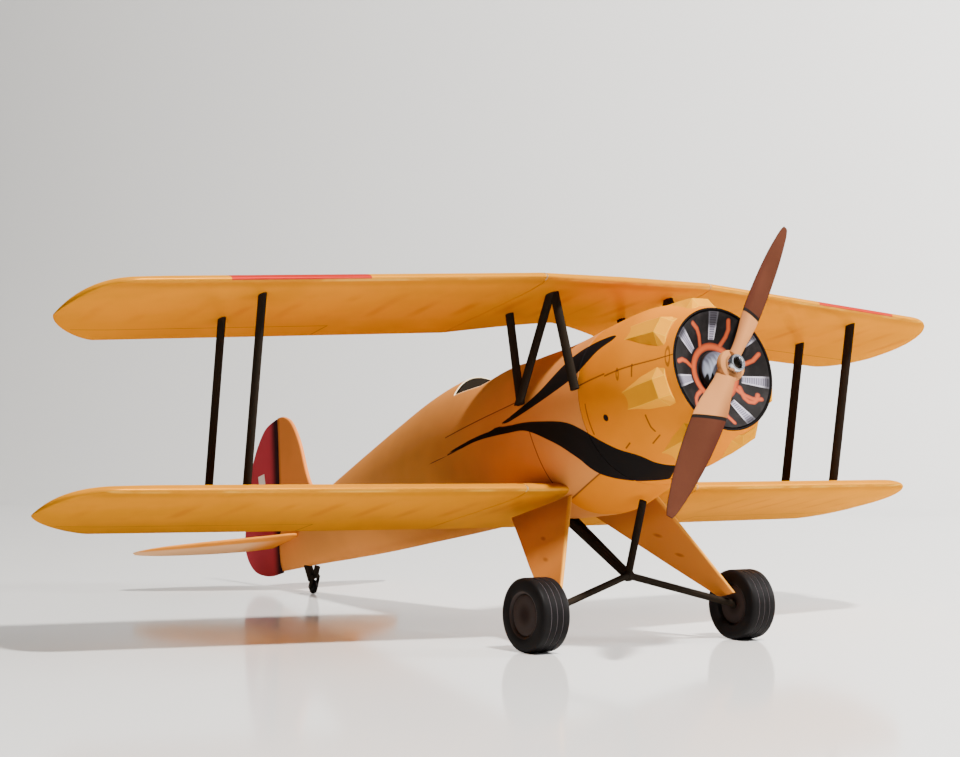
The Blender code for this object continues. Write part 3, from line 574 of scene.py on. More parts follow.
def engineFinish():
    recipe = Recipe("printedEngine")
    place = recipe.cardPlace()
    x, up, _ = recipe.parts(place)
    radius, turnAngle = recipe.length(place), recipe.calc("ARCTAN2", up, x)
    spacing = 2 * math.pi / rocker["count"]

    def around(offset):
        # angle from the nearest of seven directions, in radians
        phase = (turnAngle - math.radians(offset)) / spacing
        return (phase - recipe.calc("ROUND", phase)) * spacing

    grain = recipe.noise(2600.0, 2.0, 0.6)
    colour = recipe.mix(recipe.step(recipe.noise(260.0, 3.0, 0.6), 0.4, 0.8), "engineBlack", "soot")
    # cylinders: pale ribbed patches that flare outwards, with bright side edges and fine fins across
    half, inner, outer = math.radians(engine["cylinderHalf"]), engine["cylinderInner"], engine["cylinderOuter"]
    beside = abs(around(rocker["first"]))
    fins = recipe.calc("SINE", radius * (2 * math.pi / engine["finGap"])) * 0.5 + 0.5
    patch = recipe.mix(fins, "finDark", "finPale")
    patch = recipe.mix(recipe.step(beside, half * 0.62, half * 0.8), patch, "finEdge")
    patch = recipe.mix(recipe.step(grain, 0.3, 0.8, 0.0, 0.5), patch, "finGrain")
    atTop = recipe.step(abs(turnAngle - math.pi / 2), 0.35, 0.44, 1.0, 0.0)
    outward = recipe.step(atTop * engine["topCut"] + radius, outer - 1.6, outer + 0.2, 1.0, 0.12)
    shown = recipe.below(beside, half, half * 0.07) * recipe.step(radius, inner - 0.15, inner + 0.15) * outward
    colour = recipe.mix(shown, colour, patch)
    # collector ring and its arms, lighter along their middle; one arm loops back between two cylinders
    local = around(rocker["first"] + engine["armOffset"])
    spot = recipe.flat(radius * recipe.calc("COSINE", local), radius * recipe.calc("SINE", local))
    loop = [(r * math.cos(math.radians(t)), r * math.sin(math.radians(t))) for r, t in engine["loop"]]
    fromArm = recipe.calc("MINIMUM", recipe.pathDistance(spot, engine["arm"]), recipe.pathDistance(place, loop))
    fromRing = abs(radius - engine["ringMiddle"]) / engine["ringHalf"]
    nearest = recipe.calc("MINIMUM", fromRing, fromArm / (engine["armWidth"] / 2))
    pipe = recipe.mix(recipe.step(nearest, 0.25, 1.0), "copper", "copperDark")
    colour = recipe.mix(recipe.below(nearest, 1.02), colour, pipe)
    return recipe.finish(colour, 0.5, grain, 0.05, 0.0002, Specular_IOR_Level=0.04)


def domeFinish():
    recipe = Recipe("printedCrankcase")
    place = recipe.cardPlace()
    x, up, _ = recipe.parts(place)
    # a printed gleam: steel blue above, black below, with a ragged edge between
    ragged = recipe.noise(1.3, 1.0, place=recipe.flat(x))
    level = x * -0.45 + up * 0.9 + (ragged - 0.5) * 5.0
    steel = recipe.mix(recipe.step(level, 0.2, 4.5), "steelGleam", "steelBlue")
    colour = recipe.mix(recipe.step(level, -0.1, 0.5), "engineBlack", steel)
    colour = recipe.mix(recipe.step(recipe.length(place), 4.55, 4.95), colour, "engineBlack")
    return recipe.finish(colour, 0.35, recipe.noise(2600.0), 0.03, 0.0002, Specular_IOR_Level=0.06)


finishes.update(engine=engineFinish(), dome=domeFinish())


def buildEngine():
    for name, key, gap, node, columns in (("engineFace", "face", 0.8, "engine_face", 140),
                                          ("crankcaseDome", "dome", 0.4, "crankcase", 72)):
        points, uv = turned(resample(engine[key], gap), columns, engine["centreA"])
        piece = surface(name, points, finishes["engine" if key == "face" else "dome"], uv=uv, sharp=40)
        settle(piece, "airframe", "black_card", node)


buildEngine()
print("engine built")

propeller = dict(centreA=-46.1, angle=35.3,
                 # radius, chord, pitch in degrees, thickness
                 blade=((2.3, 5.2, 32.0, 1.6), (4.5, 5.0, 34.0, 1.7), (8.0, 6.0, 33.0, 1.6), (12.0, 7.3, 29.0, 1.4),
                        (16.0, 7.9, 26.5, 1.25), (22.0, 7.7, 24.0, 1.15), (28.0, 7.0, 22.0, 1.0),
                        (34.0, 5.7, 19.5, 0.9), (39.0, 4.1, 17.5, 0.8), (42.5, 2.7, 16.0, 0.7), (44.0, 1.6, 15.5, 0.5)),
                 bandRadius=15.8, bandWidth=1.0, bandLean=0.35,
                 boss=((-0.9, 2.22), (-0.9, 3.2), (-0.5, 3.65), (0.35, 3.8), (0.9, 3.6), (1.15, 3.1), (1.15, 2.22)),
                 nut=((1.1, 2.2), (2.75, 2.2), (3.1, 1.97), (3.1, 1.58), (2.9, 1.45), (1.1, 1.45)),
                 shaft=((-0.9, 0.02), (-0.9, 2.2), (1.05, 2.2), (1.05, 1.4), (1.6, 1.4), (1.6, 0.02)))


def bladeAxes(turn):
    # directions in the level airframe (x, a, h): out along the blade, across it, and forward
    angle = math.radians(propeller["angle"]) + turn
    radial = np.array((math.sin(angle), 0.0, math.cos(angle)))
    tangent = np.array((-math.cos(angle), 0.0, math.sin(angle)))
    return radial, tangent, np.array((0.0, -1.0, 0.0))


def bladeFinish():
    recipe = Recipe("bladeCard")
    across, radius, _ = recipe.parts(recipe.cardPlace())
    tan, grain = cardColour(recipe, "tan")
    brown, _ = cardColour(recipe, "brown", 0.12)
    tan = recipe.mix(recipe.step(across, 0.6, 3.6, 0.0, 0.62), tan, "tanShade")
    brown = recipe.mix(recipe.step(across, 1.5, 4.0, 0.0, 0.6), brown, "brownShade")
    fromBand = across * propeller["bandLean"] + radius - propeller["bandRadius"]
    colour = recipe.mix(recipe.step(fromBand, -0.1, 0.1), tan, brown)
    colour = recipe.mix(recipe.below(abs(fromBand), propeller["bandWidth"] / 2), colour, "band")
    return matt(recipe, colour, grain, 0.4, 0.2)


def bossFinish():
    recipe = Recipe("bossCard")
    tan, grain = cardColour(recipe, "tan")
    # painted shadow darkens the boss round the foot of the nut
    centre = recipe.step(recipe.length(recipe.cardPlace()), 1.9, 2.7, 0.75, 0.0)
    return matt(recipe, recipe.mix(centre, tan, "bossNutShadow"), grain, 0.4, 0.2)


def steelFinish():
    recipe = Recipe("tubeSteel")
    shade = recipe.mix(recipe.noise(700.0, 3.0), "steelDark", "steelPale")
    return recipe.finish(shade, 0.22, recipe.noise(1800.0), 0.05, 0.0001, Metallic=1.0)


finishes.update(blade=bladeFinish(), boss=bossFinish(), steel=steelFinish())


def buildPropeller():
    radii = np.concatenate((np.linspace(2.3, 40.0, 60), 40 + 4 * np.sin(np.linspace(0, math.pi / 2, 14))[1:]))
    row = alongTable(propeller["blade"], radii)
    chord, pitch, thick = row[:, 1, None], np.radians(row[:, 2, None]), row[:, 3, None]
    angle = np.linspace(0, 2 * math.pi, 36, endpoint=False)[None]
    # section: a flat back and a rounded front, both ends fine
    across = chord / 2 * np.cos(angle)
    front = np.where(np.sin(angle) > 0, 0.62, 0.38) * thick * np.sign(np.sin(angle)) * np.abs(np.sin(angle)) ** 0.8
    uv = np.stack((across, np.broadcast_to(radii[:, None], across.shape)), -1)
    middle = (0.0, propeller["centreA"], hull["thrust"])
    for word, turn in (("Upper", 0.0), ("Lower", math.pi)):
        radial, tangent, forward = bladeAxes(turn)
        along = tangent * np.cos(pitch)[..., None] + forward * np.sin(pitch)[..., None]
        normal = forward * np.cos(pitch)[..., None] - tangent * np.sin(pitch)[..., None]
        spot = middle + radii[:, None, None] * radial + across[..., None] * along + front[..., None] * normal
        piece = surface("blade" + word, toWorld(*np.moveaxis(spot, -1, 0)), finishes["blade"], uv=uv, sharp=60)
        settle(piece, "propeller_body", "propeller_brown", "propeller")
    for name, key, finish, slotName in (("propellerBoss", "boss", "boss", "propeller_brown"),
                                        ("propellerNut", "nut", "steel", "grey_tube")):
        points, uv = turned(propeller[key], 64, propeller["centreA"])
        piece = surface(name, points, finishes[finish], ends="joined", uv=uv, sharp=35)
        settle(piece, "propeller_body", slotName, *(["propeller_nut"] if key == "nut" else []))
    points, _ = turned(propeller["shaft"], 48, propeller["centreA"])
    settle(surface("propellerShaft", points, finishes["blackPaper"], sharp=35), "propeller_body", "black_card")


buildPropeller()
print("propeller built")

wing = dict(chord=48.4, sweep=9.82, thickness=0.092, camber=0.022, camberAt=0.38,
            ribSlant=0.05, ribGap=11.7, cutoutDepth=12.5, slit=0.15,  # slit: half the gap between two panels
            aileron=(63.0, 0.80, 127.0),  # inner end, hinge line's share of the chord, outer end
            band=(71.5, 105.2),  # the red band's two ends
            # each tip: where its nose and its rear edge start to curve, its end, chord share there, two powers
            tips={("upper", -1): (124.0, 118.0, 135.7, 0.54, 3.2, 1.3),
                  ("upper", 1): (116.0, 121.0, 136.2, 0.66, 2.0, 1.7),
                  ("lower", -1): (124.0, 116.0, 137.4, 0.54, 3.2, 1.3),
                  ("lower", 1): (114.0, 119.0, 135.0, 0.66, 2.0, 1.7)},
            upper=dict(joint=26.1, leading=-15.24, height=80.6, dihedral=-0.39),
            lower=dict(joint=27.2, leading=3.46, height=31.8, dihedral=2.4))


def airfoilHeight(t, top):
    # height over the chord line as a share of the chord: the camber line plus or minus the half thickness
    t = np.clip(t, 0, 1)
    half = 0.2969 * np.sqrt(t) - 0.126 * t - 0.3516 * t ** 2 + 0.2843 * t ** 3 - 0.0936 * t ** 4
    half = np.maximum(5 * wing["thickness"] * half, 0.004 * t)
    peak, camber = wing["camberAt"], wing["camber"]
    line = np.where(t < peak, camber / peak ** 2 * (2 * peak * t - t ** 2),
                    camber / (1 - peak) ** 2 * (1 - 2 * peak + 2 * peak * t - t ** 2))
    return line + np.where(top, half, -half)


def wingLine(which, x):
    # leading edge of the joint line at x: a aft, h up
    w = wing[which]
    reach = np.maximum(np.abs(x) - w["joint"], 0)
    return (w["leading"] + reach * math.tan(math.radians(wing["sweep"])),
            w["height"] + reach * math.tan(math.radians(w["dihedral"])))


def tipShares(x, tip):
    # how much of the chord the round tip takes away in front and behind, each edge a power curve
    leading, trailing, end, split, frontPower, rearPower = tip
    r = np.clip((np.abs(x) - leading) / (end - leading), 0, 1)
    front = split * (1 - (1 - r ** frontPower) ** (1 / frontPower))
    r = np.clip((np.abs(x) - trailing) / (end - trailing), 0, 1)
    return front, split + (1 - split) * (1 - r ** rearPower) ** (1 / rearPower)


def wingGrid(which, stations, rearShare=None, points=52):
    # each ring runs from the trailing edge over the top to the nose and back below; the tip thins with its chord
    part = 0.5 * (1 + np.cos(np.linspace(0, math.pi, points)))
    t = np.concatenate((part, part[-2:0:-1], part[:1]))
    top = np.arange(len(t)) < points
    x = np.broadcast_to(stations[:, None], (len(stations), len(t)))
    tip = wing["tips"][which, -1 if stations[-1] < 0 else 1]
    front, rear = tipShares(x, tip)
    if rearShare is not None:
        rear = np.broadcast_to(rearShare[:, None], x.shape)
    size = np.maximum(rear - front, 0.01)
    swell = np.where(np.abs(x) > min(tip[:2]), size, 1.0)
    leading, height = wingLine(which, x)
    aft = (front + size * t) * wing["chord"]
    h = height + airfoilHeight(np.broadcast_to(t, x.shape), top) * wing["chord"] * swell
    return x, leading + aft, h, np.where(top, -aft, aft)


def strutPoint(which, x, share, top):
    # a point on a wing's skin: its share of the chord behind the nose, on the top or the underside
    a, h = wingLine(which, x)
    return a + share * wing["chord"], h + airfoilHeight(share, top) * wing["chord"]


def wingFinish(which):
    recipe = Recipe(which + "WingCard")
    place = recipe.cardPlace()
    colour, grain = cardColour(recipe, "orange")
    x, chordwise, _ = recipe.parts(place)
    span, depth = abs(x), abs(chordwise)
    inner, hinge, outer = wing["aileron"][0], wing["aileron"][1] * wing["chord"], wing["aileron"][2]
    aileron = recipe.line(recipe.flat(span, depth), ((inner, 48.0), (inner, hinge), (outer, hinge)), 0.3)
    colour = recipe.mix(aileron * 0.75, colour, "line")
    if which == "upper":
        band = recipe.between(span, *wing["band"]) * recipe.below(chordwise, 0.14, 0.04)
        colour = recipe.mix(band, colour, "wingBand")
    # pale cut card shows at the nose where two panels meet
    joint = recipe.below(abs(span - wing[which]["joint"]), 0.20, 0.08) * recipe.below(abs(chordwise + 0.1), 1.0, 0.3)
    colour = recipe.mix(joint, colour, "edge")
    # painted faint slanting shadows of the ribs under the skin, strongest at mid chord
    slant = (chordwise * wing["ribSlant"] + span) / wing["ribGap"]
    ribShadow = recipe.step(abs(slant - recipe.calc("ROUND", slant)), 0.02, 0.20, 1.0, 0.0)
    ribShadow = ribShadow * recipe.step(recipe.noise(45.0, 2.0), 0.35, 0.6)
    ribShadow = ribShadow * recipe.step(chordwise, 7.0, 15.0) * recipe.step(chordwise, 24.0, 34.0, 1.0, 0.0)
    colour = recipe.mix(ribShadow * 0.5, colour, "wingRibShadow")
    # painted shade darkens the card round the nose
    colour = recipe.mix(recipe.step(depth, 1.0, 4.5, 0.2, 0.0), colour, "wingNoseShade")
    # a thin painted highlight runs along the nose, broken in places
    highlightPatches = recipe.step(recipe.noise(60.0, 3.0, 0.6), 0.42, 0.62, 0.08, 0.5)
    colour = recipe.mix(recipe.below(abs(chordwise - 0.45), 0.3, 0.2) * highlightPatches, colour, "wingNoseHighlight")
    return glowing(recipe, colour, grain, 0.30, 0.16)


finishes.update(upperWing=wingFinish("upper"), lowerWing=wingFinish("lower"))


def wingPiece(name, which, stations, rearShare, *nodes):
    x, a, h, signedAft = wingGrid(which, stations, rearShare)
    # UV in millimetres: span across, chord along, negative on the top surface
    piece = surface(name, toWorld(x, a, h)[:, :-1], finishes[which + "Wing"], uv=np.stack((x, signedAft), -1), sharp=50)
    settle(piece, "airframe", "orange_card", *nodes)


def buildWings():
    for which in ("upper", "lower"):
        for side, word in ((1, "port"), (-1, "starboard")):
            tip = wing["tips"][which, side]
            start, end = min(tip[:2]), tip[2] - 0.05
            curved = start + (end - start) * np.sin(np.linspace(0, math.pi / 2, 40))
            straight = np.linspace(wing[which]["joint"] + wing["slit"], start, 60)[:-1]
            wingPiece(which + "Wing" + word.capitalize(), which, side * np.concatenate((straight, curved)), None,
                      which + "_wing_" + word)
    joint = wing["upper"]["joint"]
    stations = np.linspace(wing["slit"] - joint, joint - wing["slit"], 45)
    cut = 1 - wing["cutoutDepth"] / wing["chord"] * (1 - (np.abs(stations) / joint) ** 1.25)
    wingPiece("upperWingMiddle", "upper", stations, cut, "upper_wing_middle")
    joint = wing["lower"]["joint"] - wing["slit"]
    wingPiece("lowerWingRoots", "lower", np.linspace(-joint, joint, 30), np.ones(30))


buildWings()
print("wings built")

wheel = dict(halfTrack=32.55,
             # across the tyre from inboard to outboard, radius
             side=((3.3, 5.15), (3.7, 5.45), (3.9, 5.95), (3.9, 8.15), (3.8, 8.55), (3.5, 8.84), (3.05, 8.93)),
             grooves=(-1.7, 0.0, 1.7), grooveHalf=0.15, grooveDepth=0.16, treadRadius=8.93, lipRadius=5.6,
             hub=((-2.6, 0.02), (-2.6, 4.95), (3.1, 4.98), (3.25, 4.8), (3.3, 4.2), (3.3, 0.02)),
             small=((-0.64, 0.02), (-0.64, 1.5), (-0.58, 1.9), (-0.38, 2.2), (0.0, 2.29), (0.38, 2.2), (0.58, 1.9),
                    (0.64, 1.5), (0.64, 0.02)), smallPlace=(80.84, 2.3))


def tyreFinish():
    recipe = Recipe("rolledPaperTyre")
    colour = recipe.mix(recipe.noise(160.0, 3.0), "tyre", "tyrePale")
    colour = recipe.mix(recipe.step(recipe.field("groove"), 0.3, 0.7), colour, "tyreGroove")
    colour = recipe.mix(recipe.step(recipe.field("lip"), 0.3, 0.7), colour, "paperLip")
    return recipe.finish(colour, 0.5, recipe.noise(1500.0, 3.0, 0.6), 0.12, 0.0002, Specular_IOR_Level=0.05)


def hubFinish():
    recipe = Recipe("hubCard")
    outward = recipe.step(recipe.length(recipe.cardPlace()), 0.6, 3.4)
    colour = recipe.mix(outward, "hubDark", "paperLip")
    return recipe.finish(colour, 0.55, recipe.noise(1500.0, 3.0, 0.6), 0.08, 0.0002, Specular_IOR_Level=0.03)


finishes.update(tyre=tyreFinish(), hub=hubFinish())


def wheelPiece(name, side, profile, angle, finish, slotName, node, **more):
    # a profile of (across, radius) turned about its axle, outboard to port or to starboard
    across, radius = np.asarray(profile, float).T[..., None]
    a, h = radius * np.cos(angle), radius * np.sin(angle)
    points = toWorld((1 if side == "port" else -1) * (wheel["halfTrack"] + across), a, h)
    piece = surface(name + side.capitalize(), points, finishes[finish], **more)
    settle(piece, "wheel_" + side, slotName, node + "_" + side)


def buildWheels():
    side = np.array(wheel["side"])
    # the tread with its grooves: across, radius, and 1 on a groove's floor
    rim = np.array(((-1.6, 0.0), (-1.0, 0.0), (-0.7, 1.0), (0.7, 1.0), (1.0, 0.0), (1.6, 0.0)))
    across = (np.array(wheel["grooves"])[:, None] + rim[:, 0] * wheel["grooveHalf"]).ravel()
    floor = np.tile(rim[:, 1], len(wheel["grooves"]))
    tread = np.stack((across, wheel["treadRadius"] - floor * wheel["grooveDepth"]), 1)
    tyre = np.concatenate((side * (-1, 1), tread, side[::-1]))
    angle = np.linspace(0, 2 * math.pi, 128, endpoint=False)
    marks = dict(groove=np.pad(floor, len(side)), lip=(tyre[:, 1] < wheel["lipRadius"]) * (tyre[:, 0] > 0.0))
    marks = {name: np.repeat(mark, len(angle)) for name, mark in marks.items()}
    hub = resample(wheel["hub"], 0.6)
    disc = np.stack((hub[:, 1, None] * np.cos(angle), hub[:, 1, None] * np.sin(angle)), -1)
    for word in ("port", "starboard"):
        wheelPiece("tyre", word, tyre, angle, "tyre", "tyre_black", "tyre", ends="joined", fields=marks, sharp=38)
        wheelPiece("hub", word, hub, angle, "hub", "hub_brown", "hub", uv=disc, sharp=40)
    across, r = np.array(wheel["small"]).T[..., None]
    (y, z), angle = wheel["smallPlace"], angle[::2]
    grid = np.stack(np.broadcast_arrays(across, y + r * np.cos(angle), z + r * np.sin(angle)), -1)
    blank = np.zeros(grid.shape[:2])
    piece = surface("tailWheelDisc", grid * 0.001, finishes["tyre"], fields={"groove": blank, "lip": blank}, sharp=50)
    settle(piece, "tail_wheel_body", "tyre_black", "tail_wheel")


buildWheels()
print("wheels built")

leg = dict(
    # x of the card's middle, front a, rear a, h
    rows=((13.6, 4.3, 30.9, 29.9), (21.5, -0.3, 15.0, 14.4), (27.5, -3.7, 2.4, 2.5)),
    half=0.5, dimples=((11.5, 20.6), (7.6, 14.6)), dimpleHalf=(1.9, 0.6), dimpleTurn=-22)


def plateRing(front, rear, half, columns=48):
    # a flattened ring: along from front to rear by the cosine, across by a small power of the sine, so edges are round
    angle = np.linspace(0, 2 * math.pi, columns, endpoint=False)
    along = (front + rear)[:, None] / 2 - (rear - front)[:, None] / 2 * np.cos(angle)
    chord = (rear - front)[:, None]
    rim = np.clip(1 - np.abs(np.cos(angle)), 0, 1) * chord / 2
    across = np.sign(np.sin(angle)) * np.minimum(np.sqrt(np.clip(rim * 2 * half, 0, None)), half)
    return along, across


def legFinish():
    recipe = Recipe("gearLegCard")
    place = recipe.cardPlace()
    colour, grain = cardColour(recipe, "leg")
    for a, h in leg["dimples"]:
        turn = (0.0, 0.0, math.radians(leg["dimpleTurn"]))
        tilted = recipe.node("Mapping", {"Vector": recipe.away(place, a, h), "Rotation": turn})
        scaled = recipe.vector("MULTIPLY", tilted, (1 / leg["dimpleHalf"][0], 1 / leg["dimpleHalf"][1], 0.0))
        colour = recipe.mix(recipe.step(recipe.length(scaled), 0.2, 1.1, 0.55, 0.0), colour, "legDimple")
    # painted shade: the leg darkens towards its top, under the wing
    underWingShade = recipe.step(recipe.parts(place)[1], 22.0, 29.0, 0.0, 0.5)
    colour = recipe.mix(underWingShade, colour, "legUnderWingShade")
    # painted highlight along the leg's front edge
    colour = recipe.mix(recipe.step(recipe.field("rim"), 0.90, 0.99), colour, "legEdgeHighlight")
    return glowing(recipe, colour, grain, 0.4, 0.08)


finishes["leg"] = legFinish()


def buildLegs():
    rows = np.array(leg["rows"])
    heights = np.linspace(rows[0, 3], rows[-1, 3], 44)
    x, front, rear = (np.interp(-heights, -rows[:, 3], rows[:, k]) for k in range(3))
    along, across = plateRing(front, rear, leg["half"])
    # closeness to the front edge, where the leg's colour carries a painted highlight
    rim = np.abs(2 * (along - front[:, None]) / (rear - front)[:, None] - 1) * (along < (front + rear)[:, None] / 2)
    h = np.broadcast_to(heights[:, None], along.shape)
    for sign, word in ((1, "port"), (-1, "starboard")):
        piece = surface("gearLeg" + word.capitalize(), toWorld(sign * (x[:, None] + across), along, h), finishes["leg"],
                        uv=np.stack((along, h), -1), fields={"rim": rim}, sharp=60)
        settle(piece, "airframe", "orange_card", "gear_leg_" + word)


buildLegs()
print("legs built")

tail = dict(
    # upright surfaces as (h, a); tailplane edges as (x, a)
    finFront=((57.6, 178.3), (58.6, 173.5), (62.7, 151.2), (66.6, 155.7), (72.0, 158.1), (82.0, 160.3),
              (89.4, 163.9), (92.6, 168.4), (93.2, 171.6)),
    hingeFront=173.0, hingeRear=173.4, hingeLean=0.157, hingeTop=93.3,
    rudderRear=((43.7, 181.4), (44.3, 191.0), (47.9, 199.9), (55.0, 204.5), (64.0, 202.5), (76.0, 196.9), (85.0, 190.9),
                (91.5, 182.4), (93.2, 173.2)),
    planeFront=((1.6, 183.9), (2.0, 177.0), (3.3, 163.2), (14.0, 166.9), (30.0, 173.5), (41.5, 179.1),
                (47.2, 184.0), (49.0, 187.6)),
    planeRear=((1.6, 184.0), (9.0, 188.3), (22.0, 191.3), (38.0, 192.0), (46.5, 190.4), (49.0, 187.7)),
    planeHeight=52.7, half=0.62, planeHalf=0.5, barA=(185.6, 190.0), barH=(60.0, 77.6))


def edgeAlong(points, levels):
    # the edge's place at each level: a smooth curve through its points, read off by level
    curve = smoothLine(points, 8)
    order = np.argsort(curve[:, 0], kind="stable")
    return np.interp(levels, curve[order, 0], curve[order, 1])


def hingeAt(a, h):
    # the hinge line leans aft towards its foot
    return a + tail["hingeLean"] * (tail["hingeTop"] - h)


def denseLevels(start, end, count):
    # levels that crowd together towards both ends, by a cosine
    return start + (end - start) * 0.5 * (1 - np.cos(np.linspace(0.02, math.pi - 0.02, count)))


def tailFinish(name, shade, kind):
    recipe = Recipe(name)
    colour, grain = cardColour(recipe, shade)
    a, up, _ = recipe.parts(recipe.cardPlace())
    if kind == "plane":
        behind = up * -0.375 + a  # the pale middle starts along the slanting front edge
        pale = recipe.step(behind, 165.0, 169.0, 0.0, 0.7) * recipe.step(up, 4.0, 16.0)
        colour = recipe.mix(pale, colour, "planePale")
        return glowing(recipe, colour, grain, 0.4, 0.08)
    fromHinge = (up - tail["hingeTop"]) * tail["hingeLean"] + a
    if kind == "fin":
        shade = recipe.step(fromHinge, tail["hingeFront"] - 2.2, tail["hingeFront"] - 0.2, 0.0, 0.55)
        colour = recipe.mix(shade, colour, "finShade")
    if kind == "rudder":
        shade = recipe.step(fromHinge, tail["hingeRear"] + 0.9, tail["hingeRear"] + 6.0, 0.96, 0.0)
        colour = recipe.mix(shade, colour, "rudderShade")
        plainBar = recipe.between(a, *tail["barA"]) * recipe.between(up, *tail["barH"])
        colour = recipe.mix(plainBar, colour, "rudderBar")
    return glowing(recipe, colour, grain, 0.4, 0.08)


finishes.update(fin=tailFinish("finCard", "tailCard", "fin"), rudder=tailFinish("rudderCard", "red", "rudder"),
                tailplane=tailFinish("tailplaneCard", "tailplane", "plane"))


def buildTail():
    levels = denseLevels(57.7, 93.2, 60)
    hinge = hingeAt(tail["hingeFront"], levels)
    front = np.minimum(edgeAlong(tail["finFront"], levels), hinge - 0.1)
    upright = [("finCard", plateRing(front, hinge, tail["half"]), levels, "fin", "orange_card")]
    levels = denseLevels(43.7, 93.2, 70)
    hinge = hingeAt(tail["hingeRear"], levels)
    rear = np.maximum(edgeAlong(tail["rudderRear"], levels), hinge + 0.1)
    upright.append(("rudderCard", plateRing(hinge, rear, tail["half"]), levels, "rudder", "red_card"))
    for name, (along, across), levels, node, slotName in upright:
        h = np.broadcast_to(levels[:, None], along.shape)
        piece = surface(name, toWorld(across, along, h), finishes[node], uv=np.stack((along, h), -1), sharp=70)
        settle(piece, "airframe", slotName, node)
    levels = denseLevels(1.6, 49.0, 60)
    front, rear = edgeAlong(tail["planeFront"], levels), edgeAlong(tail["planeRear"], levels)
    half = tail["planeHalf"] * (1 - 0.6 * (levels / levels[-1]) ** 4)  # the card thins towards its tip
    along, across = plateRing(np.minimum(front, rear - 0.1), rear, half[:, None])
    x = np.broadcast_to(levels[:, None], along.shape)
    for sign, word in ((1, "port"), (-1, "starboard")):
        piece = surface("tailplane" + word.capitalize(), toWorld(sign * x, along, tail["planeHeight"] + across),
                        finishes["tailplane"], uv=np.stack((along, x), -1), sharp=70)
        settle(piece, "airframe", "orange_card", "tailplane_" + word)


buildTail()
print("tail built")

strut = dict(
    # each bar as name, node, foot, head (x, a, h), the axis its broad side follows, width and thickness
    knot=(0.0, 3.7, 9.2),
    spreader=(("spreaderFront", "spreader_front", (0.0, -6.6, 26.0), 0.0, "h", 2.4, 1.5),
              ("spreaderRearPort", "spreader_rear_port", (1.1, 24.6, 28.4), 0.25, "h", 2.5, 1.5),
              ("spreaderRearStarboard", "spreader_rear_starboard", (-1.1, 24.6, 28.4), -0.25, "h", 2.5, 1.5),
              ("axleStrutPort", "axle_strut_port", (29.6, 0.1, 0.3), 0.0, "a", 2.5, 1.7),
              ("axleStrutStarboard", "axle_strut_starboard", (-29.6, 0.1, 0.3), 0.0, "a", 2.5, 1.7)),
    wingX=94.3, upperShare=(0.17, 0.61), lowerShare=(0.15, 0.59), width=3.3, thickness=1.5,
    # foot a, foot h, how far it stands off the hull, head x, head a
    cabane=(("front", -13.6, 52.4, 1.15, 18.2, -6.6), ("diagonal", 11.0, 55.2, 2.85, 18.9, -6.0),
            ("rear", 12.9, 55.6, 1.15, 18.2, 13.4)),
    sunk=0.1, tailLeg=((0, 162.9, 38.2), (0, 164.6, 43.4), 3.6, 2.2))


def bar(start, end, axis, width, thickness, level=False):
    # an oval swept along a straight line, its broad side turned towards one axis; level cuts its ends flat in h
    start, end = np.array(start, float), np.array(end, float)
    angle = np.linspace(0, 2 * math.pi, 28, endpoint=False)[None, :, None]
    along = (end - start) / np.linalg.norm(end - start)
    broad = np.array((0.0, 0.0, 1.0) if axis == "h" else (0.0, 1.0, 0.0))
    broad = broad - along * (broad @ along)
    broad = broad / np.linalg.norm(broad)
    middle = start + (end - start) * np.linspace(0, 1, 24)[:, None, None]
    aside = width / 2 * np.cos(angle) * broad + thickness / 2 * np.sin(angle) * np.cross(along, broad)
    spot = middle + aside - (along * (aside[..., 2:] / along[2]) if level else 0.0)
    return toWorld(spot[..., 0], spot[..., 1], spot[..., 2])


def buildStruts():
    bars = []
    for name, node, end, aside, *shape in strut["spreader"]:
        bars.append((name, node, bar(np.array(strut["knot"]) + (aside, 0, 0), end, *shape)))
    width, thick, sunk = strut["width"], strut["thickness"], strut["sunk"]
    for sign, word in ((1, "port"), (-1, "starboard")):
        for place, high, low in zip(("front", "rear"), strut["upperShare"], strut["lowerShare"]):
            ends = [(sign * strut["wingX"], *np.add(strutPoint(which, strut["wingX"], share, top), (0, into)))
                    for which, share, top, into in (("lower", low, True, -sunk), ("upper", high, False, sunk))]
            bars.append(("interplane" + place.capitalize() + word.capitalize(), "interplane_" + place + "_" + word,
                         bar(*ends, "a", width, thick, True)))
        for place, footA, footH, clear, headX, headA in strut["cabane"]:
            row = alongTable(hull["sections"], np.array([footA]))[0]
            rise = (footH - row[2]) / (row[3] - row[2])
            foot = (sign * (row[1] * (1 - rise ** row[5]) ** (1 / row[5]) + clear), footA, footH)
            share = (headA - wing["upper"]["leading"]) / wing["chord"]
            head = (sign * headX, headA, strutPoint("upper", 0.0, share, False)[1] + sunk)
            bars.append(("cabane" + place.capitalize() + word.capitalize(), "cabane_" + place + "_" + word,
                         bar(foot, head, "a", width - 0.2, thick, True)))
    foot, head, width, thick = strut["tailLeg"]
    bars.append(("tailLegCard", None, bar(foot, head, "a", width, thick)))
    for name, node, points in bars:
        piece = surface(name, points, finishes["blackPaper"], sharp=60)
        settle(piece, "airframe", "black_card", *([node] if node else []))


buildStruts()
print("struts built")

# the axles, the knot, the cockpit lining and the tail leg keep their CAD shape in black paper
for name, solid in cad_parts.items():
    if name.startswith(("spreader_joint", "axle_", "cockpit_", "tail_leg")) and "strut" not in name:
        solid.data.materials.clear()
        solid.data.materials.append(finishes["blackPaper"])

view = dict(lens=75.54, place=(-0.31426, -0.47802, 0.05442), yaw=34.0, pitch=-1.29, roll=-0.71)


